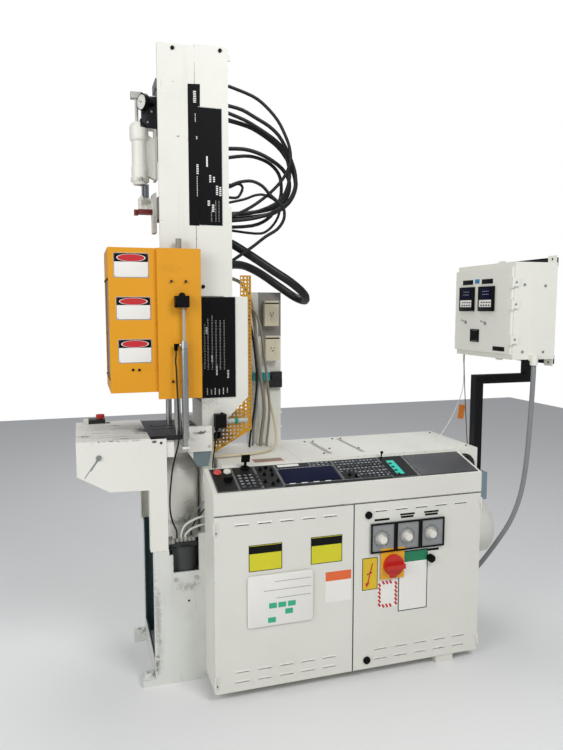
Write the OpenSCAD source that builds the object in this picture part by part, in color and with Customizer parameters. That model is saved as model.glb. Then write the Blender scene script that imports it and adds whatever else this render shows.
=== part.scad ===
// Vertical injection moulding machine with a raised safety gate, a side cabinet and a control box
// Millimetres. +X runs along the cabinet, +Y away from its doors, +Z up.
// The origin is on the clamp axis, in the plane that the pedestal stands on.

/* [Pedestal and base] */
// Half of the pedestal's width across the machine
ped_half = 240; // [220:5:260]
// Left edge of the pedestal
ped_left = -122; // [-150:1:-110]
// Top of the pedestal's side plates
ped_top = 645; // [600:5:680]
// Thickness of the pedestal's plates
ped_wall = 10; // [6:1:14]
// Left end of the base housing
base_left = 170; // [169:1:180]
// Right end of the base housing
base_right = 1410; // [1380:5:1460]
// Back of the base housing
base_back = 195; // [180:5:220]
// Top of the base housing's deck
deck_top = 927; // [910:1:940]
// Thickness of the loose deck covers
deck_sheet = 3; // [2:0.5:4]
// Radius of the cooling fan's opening
fan_r = 62; // [50:1:70]
// Radius of the pump motor's cowl
motor_r = 130; // [100:1:140]
// How far the cowl stands out of the base
motor_out = 110; // [80:5:120]

/* [Cabinet] */
// Left side of the cabinet
cab_left = 92; // [85:1:100]
// Right side of the cabinet
cab_right = 1302; // [1280:2:1320]
// Depth of the cabinet from its doors to its back
cab_deep = 196.7; // [185:0.1:210]
// Underside of the cabinet
cab_bottom = 33; // [30:1:60]
// Top of the doors
door_top = 772; // [760:1:780]
// Middle of the gap between the doors
door_split = 690; // [660:1:720]
// Depth of a door's folded edge
door_deep = 20; // [15:1:25]
// Sheet thickness of the cabinet
cab_sheet = 2.5; // [2:0.5:3]
// Height of the console's front edge
console_front = 862; // [850:1:870]
// Height of the console's back edge
console_back = 917; // [905:1:922]
// Length of a louvre
louvre_long = 62; // [50:1:66]
// Height of a louvre's hood
louvre_high = 9; // [6:1:12]

/* [Table and clamp] */
// Left edge of the operator's table
table_left = -415; // [-440:5:-400]
// Height of the table and of the lower platen
table_top = 1060; // [1040:5:1080]
// Height of the table's folded front edge
table_edge = 921; // [900:1:940]
// Lowest point of the table's underside
table_knee = 851; // [830:1:880]
// Underside of the table's legs
leg_low = 584; // [570:1:600]
// Sheet thickness of the table
table_sheet = 4; // [3:0.5:6]
// Thickness of the lower platen
platen_thick = 20; // [16:1:24]
// Radius of a tie rod
tie_r = 14; // [12:0.5:16]
// Distance of a tie rod from the clamp axis
tie_y = 140; // [136:1:142]
// Underside of the upper platen with the press open
upper_z = 1300; // [1290:5:1320]
// Radius of the clamp cylinder
clamp_r = 106; // [95:1:110]
// Radius of the clamp's piston rod
ram_r = 40; // [30:1:45]
// Stroke of the clamp
clamp_stroke = 150; // [100:5:150]

/* [Frame and tower] */
// Left face of the frame's column
col_left = 108; // [104:1:112]
// Half of the column's width
col_half = 127; // [120:1:130]
// Thickness of the column's cheeks
cheek = 25; // [18:1:30]
// Width of the neck
neck = 48; // [44:1:61]
// Right edge of the frame above the neck
head_right = 312; // [300:1:320]
// Top of the lower frame
head_top = 1636; // [1620:2:1650]
// Right edge of the tower
tower_right = 232; // [220:1:236]
// Top of the tower
tower_top = 2655; // [2600:5:2700]
// Left edge of the tower's covers
cover_left = -59; // [-65:1:-55]
// Sheet thickness of the covers
cover_sheet = 3; // [2:0.5:4]

/* [Safety gate] */
// Left face of the gate
gate_left = -272; // [-290:2:-260]
// Right edge of the gate
gate_right = 97; // [90:1:100]
// Half of the gate's width
gate_half = 178; // [174:1:182]
// How far the sliding channel stands out
channel_out = 18; // [12:1:22]
// Underside of the gate with the gate open
gate_bottom = 1250; // [1240:2:1260]
// Top of the gate with the gate open
gate_top = 1828; // [1800:2:1850]
// Underside of the channel with the gate open
channel_bottom = 1213; // [1208:1:1220]
// Sheet thickness of the gate
gate_sheet = 2; // [1.5:0.5:3]
// Stroke of the gate
gate_stroke = 125; // [100:5:125]
// Radius of the air cylinder's barrel
barrel_r = 16; // [14:0.5:18]
// Radius of the air cylinder's rod
rod_r = 6; // [5:0.5:8]

/* [Control box and stand] */
// Side of the stand's square tube
stand_tube = 42; // [36:1:50]
// Front face of the control box, towards the table
box_face = 1437; // [1425:1:1450]
// Depth of the control box
box_deep = 236; // [200:1:250]
// Near side of the control box
box_near = -425; // [-435:1:-415]
// Width of the control box
box_wide = 446; // [420:2:470]
// Underside of the control box
box_bottom = 1357; // [1345:1:1370]
// Height of the control box
box_high = 433; // [400:1:450]

/* [Hidden] */
// Clearances
gap = 0.3;
shaft_gap = 0.08;
fine = 48;

base_front = -ped_half;
cab_back = base_front - gap;
cab_front = cab_back - cab_deep;
foot_high = 60;
floor_plate = 12;
door_bottom = cab_bottom + 3;
door_back = cab_front + door_deep;
shell_front = door_back + gap;
hinge_y = cab_front - 4;
hinge_r = 4;
hinge_z = [62, 696];
hinge_long = 26;

// Feed, screw and nozzle on the clamp axis
barrel_out = 38;
screw_r = 16;
nozzle_z = 1420;
barrel_top = 1960;
unit_stroke = 60;
screw_stroke = 50;

// Gate cylinder
lift_x = 21;
lift_y = -gate_half - channel_out - barrel_r - 6;
barrel_low = 1046;
barrel_high = 1448;
bracket_low = 1589;
bracket_high = 1636;

// Material receiver
recv_x = -123;
recv_r = 35;

// Heights in the tower follow its top
rise = (tower_top - head_top) / 1019;
function up(z) = z < 1636 ? z : head_top + (z - 1636) * rise;

function unit(v) = v / norm(v);

// A point on the smooth curve through p, at step t after point i
function spot(p, i, t) =
    let (a = p[max(i - 1, 0)], b = p[i], c = p[i + 1], d = p[min(i + 2, len(p) - 1)])
    0.5 * (2 * b + (c - a) * t + (2 * a - 5 * b + 4 * c - d) * t * t
        + (3 * b - a - 3 * c + d) * t * t * t);
// The first and last stretch run straight, the rest through the points
function route(p, n) =
    let (last = len(p) - 1, inner = [for (i = [1 : last - 1]) p[i]])
    concat([p[0]], [for (i = [0 : len(inner) - 2]) for (k = [0 : n - 1]) spot(inner, i, k / n)],
        [p[last - 1], p[last]]);
function ring(c, t, side, r, n) =
    let (u = unit(cross(t, side)), v = unit(cross(t, u)))
    [for (k = [0 : n - 1]) c + r * (cos(360 * k / n) * u + sin(360 * k / n) * v)];

// A tube swept along the route; side is a direction that the route never runs along
module cord(points, d, side = [0, 1, 0], steps = 3, sides = 8) {
    p = route(points, steps);
    last = len(p) - 1;
    n = len(points) - 1;
    // The end rings stand square to the last stretch
    dirs = [for (i = [0 : last])
        i == 0 ? points[1] - points[0] : i == last ? points[n] - points[n - 1] : p[i + 1] - p[i - 1]];
    pts = [for (i = [0 : last]) each ring(p[i], unit(dirs[i]), side, d / 2, sides)];
    walls = [for (i = [0 : last - 1]) for (k = [0 : sides - 1])
        let (m = (k + 1) % sides)
        each [[i * sides + k, i * sides + m, (i + 1) * sides + k],
            [i * sides + m, (i + 1) * sides + m, (i + 1) * sides + k]]];
    ends = [[for (k = [sides - 1 : -1 : 0]) k], [for (k = [0 : sides - 1]) last * sides + k]];
    polyhedron(points = pts, faces = concat(walls, ends), convexity = 6);
}

module block(lo, hi) {
    translate(lo) cube(hi - lo);
}
module rod_x(r, x0, x1, y, z) {
    translate([x0, y, z]) rotate([0, 90, 0]) cylinder(r = r, h = x1 - x0, $fn = fine);
}
module rod_y(r, y0, y1, x, z) {
    translate([x, y1, z]) rotate([90, 0, 0]) cylinder(r = r, h = y1 - y0, $fn = fine);
}
module rod_z(r, z0, z1, x, y) {
    translate([x, y, z0]) cylinder(r = r, h = z1 - z0, $fn = fine);
}
// A plate in the XZ plane from an outline, between y0 and y1
module plate_xz(points, y0, y1) {
    translate([0, y1, 0]) rotate([90, 0, 0]) linear_extrude(y1 - y0) polygon(points);
}
module plate_yz(points, x0, x1) {
    translate([x0, 0, 0]) rotate([90, 0, 90]) linear_extrude(x1 - x0) polygon(points);
}
module hex_x(af, x0, x1, y, z) {
    translate([x0, y, z]) rotate([0, 90, 0]) cylinder(d = af / cos(30), h = x1 - x0, $fn = 6);
}
module hex_z(af, z0, z1, x, y) {
    translate([x, y, z0]) cylinder(d = af / cos(30), h = z1 - z0, $fn = 6);
}

// Base
module base_housing() {
    foot_w = 90;
    color("gainsboro") difference() {
        union() {
            block([base_left, base_front, foot_high], [base_right, base_back, deck_top - deck_sheet]);
            for (x = [base_left + 20, base_right - 20 - foot_w])
                for (y = [base_front + 5, base_back - 5 - foot_w])
                block([x, y, 0], [x + foot_w, y + foot_w, foot_high]);
        }
        rod_y(fan_r, base_front - 1, base_front + 95, fan_x, fan_z);
        for (s = deck_slots)
            block([s[0] - s[3] / 2, s[1], deck_top - deck_sheet - 40],
                [s[0] + s[3] / 2, s[2], deck_top]);
        // The lower right corner behind the cabinet is open under the pump motor
        block([base_right - 150, base_front - 1, -1], [base_right + 1, base_back + 1, 330]);
    }
}
fan_x = 1337;
fan_z = 840;
// Each deck slot: middle, near end, far end, width
deck_slots = [[690, -161, 125, 26], [850, -168, 168, 20]];
joint_x = 522;

module housing_panels() {
    edge = 2;
    lift = deck_top - deck_sheet;
    color("whitesmoke") {
        block([base_left + edge, base_front + edge, lift], [joint_x - 1, base_back - edge, deck_top]);
        difference() {
            block([joint_x + 1, base_front + edge, lift],
                [base_right - edge, base_back - edge, deck_top]);
            for (s = deck_slots)
                block([s[0] - s[3] / 2, s[1], lift - 1], [s[0] + s[3] / 2, s[2], deck_top + 1]);
        }
        difference() {
            union() {
                block([base_left + 40, base_back, 120],
                    [base_right - 190, base_back + 4, deck_top - 60]);
                for (x = [base_left + 160 : 130 : base_right - 380]) for (z = [640 : 26 : 744])
                    louvre_back(x, z);
            }
            for (x = [base_left + 160 : 130 : base_right - 380]) for (z = [640 : 26 : 744])
                block([x - 45, base_back - 1, z - 4], [x + 45, base_back + 8, z + 2]);
        }
    }
}
module louvre_back(x, z) {
    plate_yz([[base_back + 4, z + 6], [base_back + 4, z - 2], [base_back + 10, z - 2]], x - 50, x + 50);
}
module fan_grille() {
    rim = 3;
    y0 = base_front + 6;
    color("dimgray") difference() {
        rod_y(fan_r - gap, y0, y0 + rim, fan_x, fan_z);
        for (r = [14 : 10 : fan_r - 8]) difference() {
            rod_y(r + 6, y0 - 1, y0 + rim + 1, fan_x, fan_z);
            rod_y(r, y0 - 2, y0 + rim + 2, fan_x, fan_z);
            for (a = [0, 90]) translate([fan_x, 0, fan_z]) rotate([0, a + 45, 0])
                block([-fan_r, y0 - 3, -3], [fan_r, y0 + rim + 3, 3]);
        }
    }
}
module fan_rotor() {
    hub_r = 22;
    y0 = base_front + 25;
    color("black") {
        rod_y(hub_r, y0, y0 + 26, fan_x, fan_z);
        rod_y(4, y0 + 26, base_front + 95 - gap, fan_x, fan_z);
        for (a = [0 : 60 : 300]) translate([fan_x, y0 + 13, fan_z]) rotate([0, a, 0]) rotate([0, 0, 35])
            block([-9, -1.2, 14], [9, 1.2, fan_r - 5]);
    }
}
motor_y = -120;
motor_z = 500;
wiring_low = 675;
wiring_high = 806;
module pump_motor() {
    end = base_right + motor_out;
    lip = 16;
    color("ivory") {
        translate([base_right - 60, motor_y, motor_z]) rotate([0, 90, 0]) rotate_extrude($fn = 64)
            polygon(concat([[0, 60 + gap], [motor_r, 60 + gap]],
                [for (a = [0 : 15 : 90]) [motor_r - lip + lip * cos(a),
                    motor_out + 60 - lip + lip * sin(a)]],
                [[motor_r * 0.55, motor_out + 60], [motor_r * 0.55, motor_out + 56],
                    [0, motor_out + 56]]));
        difference() {
            block([base_right + gap, -258, wiring_low], [base_right + 47, -209, wiring_high]);
            block([base_right + 3, -255, wiring_low + 3], [base_right + 44, -208, wiring_high - 3]);
        }
    }
}

// Pedestal, table and clamp
leg_right = -61;
cut_lo = [-42, 484];
cut_hi = [66, 590];
module pedestal() {
    right = base_left - 2;
    inner = ped_half - ped_wall;
    lug = 54;
    color("lightgray") {
        block([ped_left, -ped_half, 0], [right, ped_half, floor_plate]);
        difference() {
            for (s = [-1, 1]) scale([1, s, 1]) {
                block([ped_left, -ped_half, floor_plate], [right, -inner, leg_low]);
                block([leg_right + 3, -ped_half, leg_low - 1], [right, -inner, ped_top]);
            }
            block([cut_lo[0], -ped_half - 1, cut_lo[1]], [cut_hi[0], -inner + 1, ped_top + 1]);
            block([leg_right + 3, -ped_half - 1, cut_hi[1] - 28], [cut_hi[0], -inner + 1, ped_top + 1]);
            rod_y(6, -ped_half - 1, -inner + 1, 22, 355);
        }
        for (s = [-1, 1]) scale([1, s, 1]) {
            difference() {
                union() {
                    block([ped_left - lug, -ped_half, 0], [ped_left, -ped_half + 80, 30]);
                    rod_z(20, 0, 44, ped_left - lug / 2, -ped_half + 40);
                }
                rod_z(9, -1, 46, ped_left - lug / 2, -ped_half + 40);
            }
            block([ped_left, -inner, floor_plate], [ped_left + 10, -inner + 22, leg_low]);
        }
        block([ped_left, -inner, floor_plate], [ped_left + 10, inner, 90]);
    }
}
module table_side(y0, y1) {
    plate_xz([[table_left, table_top - table_sheet], [table_left + 3, table_edge], [-290, table_knee],
        [-133, table_knee - 5], [-133, leg_low], [leg_right, leg_low],
            [leg_right, table_top - table_sheet]],
        y0, y1);
}
module operator_table() {
    color("white") {
        for (s = [-1, 1]) scale([1, s, 1]) table_side(-ped_half, -ped_half + table_sheet);
        block([table_left, -ped_half, table_top - table_sheet], [ped_left - 4, ped_half, table_top]);
        block([-284, 176, table_top], [-266, 194, table_top + 3]);
        inner = ped_half - table_sheet;
        block([table_left, -inner, table_edge],
            [table_left + table_sheet, inner, table_top - table_sheet]);
        plate_xz([[table_left + 3, table_edge], [table_left + 6, table_edge + 2],
            [-287, table_knee + 2.5],
            [-290, table_knee]], -inner, inner);
        block([-290, -inner, table_knee - 3], [-130, inner, table_knee + 1]);
        for (s = [-1, 1]) scale([1, s, 1])
            block([-133, -inner, leg_low], [-130, -inner + 40, table_knee - 1]);
    }
    color([0.1, 0.1, 0.1]) difference() {
        block([-382, stop_y - 30, table_top], [-286, stop_y + 30, table_top + 18]);
        rod_z(10, table_top + 4, table_top + 19, stop_x, stop_y);
    }
}
module lower_platen() {
    notch = 35;
    lo = table_top - platen_thick;
    color([0.2, 0.19, 0.22]) difference() {
        union() {
            block([ped_left - 3, -195, lo], [notch, 195, table_top]);
            block([notch, -148, lo], [100, 148, table_top]);
        }
        for (y = [-tie_y, tie_y]) rod_z(tie_r + shaft_gap, lo - 1, table_top + 1, 0, y);
        for (x = [-90, 60]) for (y = [-70, 70]) rod_z(6, lo - 1, table_top + 1, x, y);
        for (y = [-35, 35]) translate([0, y, table_top - 9]) {
            block([-100, -5, 0], [96, 5, 10]);
            block([-100, -9, -5], [96, 9, 1]);
        }
    }
}
bed_low = 978;
module bed_block() {
    top = table_top - platen_thick;
    ear = 1086;
    lug_y = lift_y;
    color("whitesmoke") difference() {
        union() {
            block([ped_left + 2, -168, bed_low], [col_left - gap, 168, top - gap]);
            for (s = [-1, 1]) scale([1, s, 1]) {
                block([37, -172, bed_low], [141, -150, ear]);
                plate_xz([[40, bed_low + 1], [138, bed_low + 1], [124, bed_low - 66],
                    [78, bed_low - 66]], -166, -130);
                block([-60, -ped_half + table_sheet + gap, bed_low], [-30, -168, top - gap]);
            }
            block([lift_x - 14, lug_y + 16, bed_low + 30], [lift_x + 30, -168, 1014]);
            block([lift_x - 14, lug_y - 8, 1004], [lift_x + 14, lug_y + 20, 1014]);
        }
        for (y = [-tie_y, tie_y]) rod_z(tie_r + shaft_gap, bed_low + 6, ear, 0, y);
        rod_z(ram_r + shaft_gap, bed_low - 1, ear, 0, 0);
    }
    color("black") for (p = [[60, 1034], [100, 1010], [126, 1008]]) rod_y(4, -175, -172, p[0], p[1]);
}
clamp_bore = clamp_r - 18;
module clamp_cylinder() {
    low = 576;
    shoulder = 40;
    top = bed_low - gap;
    color("ivory") rotate_extrude($fn = 72) polygon([
        [0, low], [clamp_r + 1.5, low], [clamp_r + 1.5, low + 14], [clamp_r, low + 16],
        [clamp_r, 860], [clamp_r - 6, 885], [clamp_r - 22, 912], [clamp_r - shoulder, 935],
            [clamp_r - shoulder - 4, top],
        [ram_r + shaft_gap, top], [ram_r + shaft_gap, 880], [clamp_bore - 20, 880], [clamp_bore, 862],
        [clamp_bore, low + 30], [0, low + 30]]);
}
module clamp_valve() {
    x = 8;
    y0 = -ped_half + 4;
    body_y = y0 + 54;
    color("gray") {
        difference() {
            union() {
                rod_z(47, 470, 486, x + 4, body_y);
                rod_z(50, 486, 586, x + 4, body_y);
            }
            block([x - 48, y0 + 69, 469], [x + 56, y0 + 130, 587]);
        }
        difference() {
            rod_z(53, 586, 592, x + 4, body_y);
            block([x - 54, y0 + 69, 585], [x + 60, y0 + 130, 593]);
        }
        block([x - 48, y0 + 10, 590], [x + 52, y0 + 74, 604]);
        for (p = [-28, -10, 8, 26, 42]) hex_z(16, 604, 620, x + p, y0 + 34);
        for (p = [14, 36]) hex_z(16, 604, 620, x + p, y0 + 58);
        // Ribbed flange at the left
        for (p = [-65, -58, -51]) rod_x(28, x + p, x + p + 3, y0 + 36, 600);
        rod_x(20, x - 64, x - 40, y0 + 36, 600);
        for (p = [[-36, 450], [50, 450]]) rod_y(11, y0 + 6, y0 + 30, x + p[0] - 4, p[1] + 4);
        block([x - 60, y0 + 30, 440], [x + 70, y0 + 62, 470]);
        block([x - 60, y0 + 62, 420], [x + 70, y0 + 70, 604]);
        for (s = [-54, 48]) block([x + s, y0 + 62, floor_plate + gap], [x + s + 16, y0 + 70, 420]);
    }
}
module tie_rods() {
    low = bed_low + 6;
    color("darkgray") for (y = [-tie_y, tie_y]) {
        rod_z(tie_r, low, upper_z + 62, 0, y);
        rod_z(tie_r + 7, upper_z - 8, upper_z - gap, 0, y);
        hex_z(44, upper_z + 50 + gap, upper_z + 78, 0, y);
    }
}
module clamp_ram() {
    low = 660;
    color("silver") {
        rod_z(ram_r, low, table_top - platen_thick - gap, 0, 0);
        rod_z(clamp_bore - shaft_gap, low, low + 50, 0, 0);
    }
}
module upper_platen() {
    color([0.22, 0.22, 0.24]) difference() {
        union() {
            block([ped_left, -tie_y - 24, upper_z], [col_left - gap, tie_y + 24, upper_z + 50]);
            block([-70, -80, upper_z + 50], [70, 80, upper_z + 56]);
            for (s = [-1, 1]) scale([1, s, 1])
                block([-60, tie_y + 24, upper_z + 4], [60, gate_half - gate_sheet - gap, upper_z + 46]);
        }
        for (y = [-tie_y, tie_y]) rod_z(tie_r + shaft_gap, upper_z - 1, upper_z + 70, 0, y);
        translate([0, 0, upper_z - 1]) cylinder(r1 = 8, r2 = 26, h = 70, $fn = fine);
        for (y = [-35, 35]) {
            block([-100, y - 5, upper_z - 1], [96, y + 5, upper_z + 9]);
            block([-100, y - 9, upper_z + 8], [96, y + 9, upper_z + 14]);
        }
    }
}

// Frame and tower
module c_frame() {
    neck_r = col_left + neck;
    diag = head_right - neck_r;
    diag_top = 1200;
    outline = [[col_left, floor_plate], [neck_r, floor_plate], [neck_r, diag_top - diag],
        [head_right, diag_top],
        [head_right, head_top], [col_left, head_top]];
    inner = col_half - cheek;
    color("whitesmoke") {
        for (s = [-1, 1]) scale([1, s, 1]) plate_xz(outline, -col_half, -inner);
        block([col_left, -inner, floor_plate], [col_left + 16, inner, 1180]);
        block([col_left + 60, -inner, 1240], [col_left + 76, inner, head_top]);
        block([col_left, -inner, head_top - 16], [head_right, inner, head_top]);
        block([head_right - 16, 50, 1570], [riser_x, col_half, 1630]);
        for (s = [-1, 1]) scale([1, s, 1])
            block([neck_r - 12, -inner, floor_plate], [neck_r, -inner + 10, diag_top - diag]);
    }
}
module tower_frame() {
    half = 104;
    wall = 12;
    right = tower_right - 20;
    rail_top = tower_top - 95;
    color("lightgray") {
        for (s = [-1, 1]) scale([1, s, 1])
            block([col_left + 8, -half, head_top], [right, -half + wall, tower_top - 20]);
        difference() {
            block([col_left + 8, -half + wall, head_top],
                [col_left + 8 + wall, half - wall, tower_top - 20]);
            for (z = [1760, 1960, 2160, 2360])
                block([col_left, -40, up(z)], [col_left + 40, 40, up(z + 120)]);
        }
        block([col_left + 8, -half + wall, tower_top - 32], [right, half - wall, tower_top - 20]);
        for (s = [-1, 1]) scale([1, s, 1]) for (z = [1800, rail_top - 120, rail_top])
            block([col_left + 8 + wall, -col_half + gap, z], [col_left + 60, -half, z + 40]);
        // Junction box that the thick conduit leaves and enters
        block([right - 60, -40, up(1740)], [conduit_x - gap, 40, up(1912)]);
        // Guide rails for the injection unit
        for (y = [-60, 60]) block([col_left - 12, y - 12, 1660], [col_left + 8, y + 12, rail_top]);
        // Manifold plate with the hose fittings
        block([right - 12, -half + wall, head_top + 64], [right - 2, half - wall, tower_top - 55]);
        for (h = loops) for (z = [h[2], h[3]]) fitting(h[0], up(z), h[1]);
        fitting(70, up(1726), 16);
    }
}
module fitting(y, z, d) {
    x = tower_right - 22;
    rod_x(d / 2 + 5, x, x + 6, y, z);
    hex_x(d + 8, x + 6, fit_x, y, z);
}
// The near cover's window and strip
strip = [[63, up(1929)], [107, up(1929)], [115, up(2500)], [63, up(2497)]];
window_lo = [110, up(1931)];
window_hi = [206, up(2411)];
wide_top = up(2012);
module tower_covers() {
    y = -col_half;
    fold = 14;
    low = head_top + 2;
    split = 92;
    far_left = cover_left + 40;
    color("white") {
        difference() {
            union() {
                block([cover_left, y - cover_sheet, low], [split - 1, y, tower_top - 8]);
                block([cover_left, y, low], [cover_left + cover_sheet, y + fold, tower_top - 8]);
                block([cover_left, y, tower_top - 8 - cover_sheet],
                    [split - 1, y + fold, tower_top - 8]);
                block([split + 1, y - cover_sheet - 1, low], [tower_right, y, tower_top]);
                block([tower_right, y - cover_sheet - 1, low], [tower_right + 12, y, wide_top]);
                block([tower_right - cover_sheet, y, low], [tower_right, y + fold, tower_top]);
                block([tower_right, y, low], [tower_right + 12, y + fold, wide_top]);
                block([split + 1, y, tower_top - cover_sheet], [tower_right, y + fold, tower_top]);
            }
            plate_xz(strip, y - 6, y + 1);
            block([window_lo[0] - 5, y - 6, window_lo[1]], [window_hi[0], y + 1, window_hi[1]]);
            rod_y(2, y - 6, y + 1, 4, up(2500));
        }
        block([tower_right, y - 2, tower_top - 51], [tower_right + 11, y + 6, tower_top - 23]);
        // Far side, top and the strips that carry the covers
        block([far_left, -y, low], [tower_right, -y + cover_sheet, tower_top]);
        block([far_left, -y - fold, low], [far_left + cover_sheet, -y, tower_top]);
        block([tower_right - cover_sheet, -y - fold, low], [tower_right, -y, tower_top]);
        block([far_left, -y - fold, tower_top - cover_sheet], [tower_right, -y, tower_top]);
    }
}
module scale_panels() {
    y = -col_half;
    color([0.08, 0.08, 0.09]) {
        plate_xz([[64, up(1930)], [106, up(1930)], [114, up(2499)], [64, up(2496)]], y - cover_sheet,
            y - 1);
        block([window_lo[0] - 2, y + gap, window_lo[1] - 10],
            [window_hi[0] + 4, y + 4, window_hi[1] + 10]);
        block([108, y - 4, 1202], [256, y - gap, head_top - 2]);
    }
    color("white") block([138, y - 2, up(2173)], [144, y + gap, up(2214)]);
}
pitch = 17;
hole_r = 4.8;
guard_top = 1733;
guard_right = 358;
guard_low = 930;
module perforated_guard() {
    y = -12;
    left = neck + col_left + 4;
    knee = left + 14;
    outline = [[head_right - 5, guard_top], [guard_right, guard_top], [guard_right, guard_low + 103],
        [guard_right - 18, guard_low + 92], [knee, guard_low], [left, guard_low],
            [left, guard_low + 120],
        [head_right + 4, guard_low + 256], [head_right + 4, head_top + 4],
            [head_right - 5, head_top + 4]];
    rows = guard_low + 112;
    color("goldenrod") {
        difference() {
            plate_xz(outline, y - 1.5, y + 1.5);
            for (i = [0 : 2]) for (j = [0 : 4])
                rod_y(hole_r, y - 2, y + 2, guard_right - 9 - i * pitch, guard_top - 12 - j * pitch);
            for (x = [guard_right - 26, guard_right - 9]) for (z = [rows : pitch : head_top - 8])
                rod_y(hole_r, y - 2, y + 2, x, z);
            for (i = [0 : 8]) for (z = [guard_low + 18 : pitch : guard_low + 250]) {
                x = knee + i * pitch;
                if (z > guard_low + 0.554 * (x - knee) + 11 && z < guard_low + 112 + 0.872 * (x - left))
                    rod_y(hole_r, y - 2, y + 2, x, z);
            }
        }
        block([head_right + gap, y, guard_low + 256], [head_right + 4, y + 1.5, head_top - 10]);
        block([guard_right - 3, y, guard_low + 110], [guard_right, y + 26, guard_top]);
    }
}

// Injection unit
module injection_unit() {
    slide_l = col_left - 12;
    color("gray") {
        difference() {
            union() {
                rod_z(barrel_out, nozzle_z + 60, barrel_top, 0, 0);
                translate([0, 0, nozzle_z + 20]) cylinder(r1 = 16, r2 = barrel_out, h = 40, $fn = fine);
                rod_z(16, nozzle_z, nozzle_z + 20, 0, 0);
                for (z = [nozzle_z + 80 : 92 : barrel_top - 120])
                    rod_z(barrel_out + 8, z, z + 74, 0, 0);
                block([-58, -70, barrel_top], [slide_l - gap, 70, barrel_top + 90]);
                block([-50, -66, barrel_top + 260], [slide_l - gap, 66, barrel_top + 310]);
                rod_z(52, barrel_top + 310, 2494, 0, 0);
                block([-58, -58, 2494], [58, 58, 2530]);
                for (s = [-1, 1]) {
                    rod_z(14, barrel_top + 90, barrel_top + 260, -20, s * 50);
                    scale([1, s, 1]) for (z = [[10, 80], [265, 305]])
                        block([60, -92, barrel_top + z[0]],
                            [slide_l + 14, -72 - gap, barrel_top + z[1]]);
                }
                block([58, -92, barrel_top + 10], [slide_l - gap, 92, barrel_top + 80]);
                block([46, -92, barrel_top + 265], [slide_l - gap, 92, barrel_top + 305]);
            }
            rod_z(screw_r + shaft_gap, nozzle_z + 66, barrel_top + 311, 0, 0);
            rod_z(5, nozzle_z - 1, nozzle_z + 70, 0, 0);
            rod_z(38, barrel_top + 311, 2474, 0, 0);
        }
    }
}
module injection_screw() {
    low = nozzle_z + 66 + screw_stroke + 24;
    color("silver") difference() {
        union() {
            translate([0, 0, low - 22]) cylinder(r1 = 2, r2 = screw_r - 3, h = 22, $fn = fine);
            rod_z(screw_r, low, barrel_top + 340, 0, 0);
            rod_z(38 - shaft_gap, barrel_top + 395, barrel_top + 425, 0, 0);
            rod_z(screw_r, barrel_top + 340, barrel_top + 395, 0, 0);
        }
        // Flight grooves
        for (z = [low + 12 : 26 : barrel_top - 40]) difference() {
            rod_z(screw_r + 1, z, z + 16, 0, 0);
            rod_z(screw_r - 4, z - 1, z + 17, 0, 0);
        }
    }
}
module material_receiver() {
    z0 = 2106;
    x = recv_x;
    tube_x = x + 21;
    color("white") {
        translate([x, 0, 0]) rotate_extrude($fn = fine) polygon([
            [0, z0], [recv_r - 8, z0], [recv_r - 4, z0 + 10], [recv_r - 1, z0 + 30], [recv_r, z0 + 70],
            [recv_r - 3, z0 + 78], [recv_r - 4, z0 + 176], [recv_r + 2, z0 + 182],
                [recv_r + 4, z0 + 190],
            [recv_r + 4, z0 + 236], [recv_r - 4, z0 + 250], [recv_r - 16, z0 + 258], [0, z0 + 258]]);
        // Ribs of the lower collar
        for (a = [0 : 30 : 330]) translate([x, 0, 0]) rotate([0, 0, a])
            block([recv_r - 4, -3.5, z0 + 12], [recv_r + 3, 3.5, z0 + 30]);
        plate_xz([[x + 20, z0 + 40], [x + 62, z0 + 24], [x + 62, z0 + 190], [x + 20, z0 + 214]], -16,
            16);
        block([-63, -40, z0 + 20], [-52 - gap, 40, z0 + 196]);
        plate_xz([[-75, 1905], [-59, 1905], [-59, 2074], [-75, 2066]], -34, 34);
        block([-130, -26, 2003], [-72, 26, 2050]);
        for (y = [-18, 18]) hex_z(12, 2050, 2058, -119, y);
    }
    color("dimgray") {
        rod_z(7, z0 + 258, 2458, x - 8, 0);
        block([x - 32, -16, 2457], [x + 16, 16, 2482]);
        rod_x(24, -93, -53, 0, 2449);
        block([-111, -23, 2335], [-53, 23, 2430]);
        block([-118, -14, 2352], [-111, 14, 2376]);
        translate([-97, 0, 2449]) rotate([0, 0, 21]) {
            rod_x(33, -16, 4, 0, 0);
            rod_x(12, 4, 16, 0, 0);
        }
        block([-63, -20, 2296], [-52 - gap, 20, 2335]);
        // Sight tube
        for (a = [0 : 90 : 270]) translate([tube_x, 0, 0]) rotate([0, 0, a + 45])
            rod_z(3, 2050, z0 + 4, 16, 0);
        rod_z(12, 2050, z0 + 2, tube_x, 0);
    }
}
module slide_gate() {
    color([0.35, 0.06, 0.06]) {
        block([-134, -24, 1985], [-76, 24, 2002.5]);
        block([-150, -10, 1979], [-134, 10, 2002.5]);
    }
}

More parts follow.
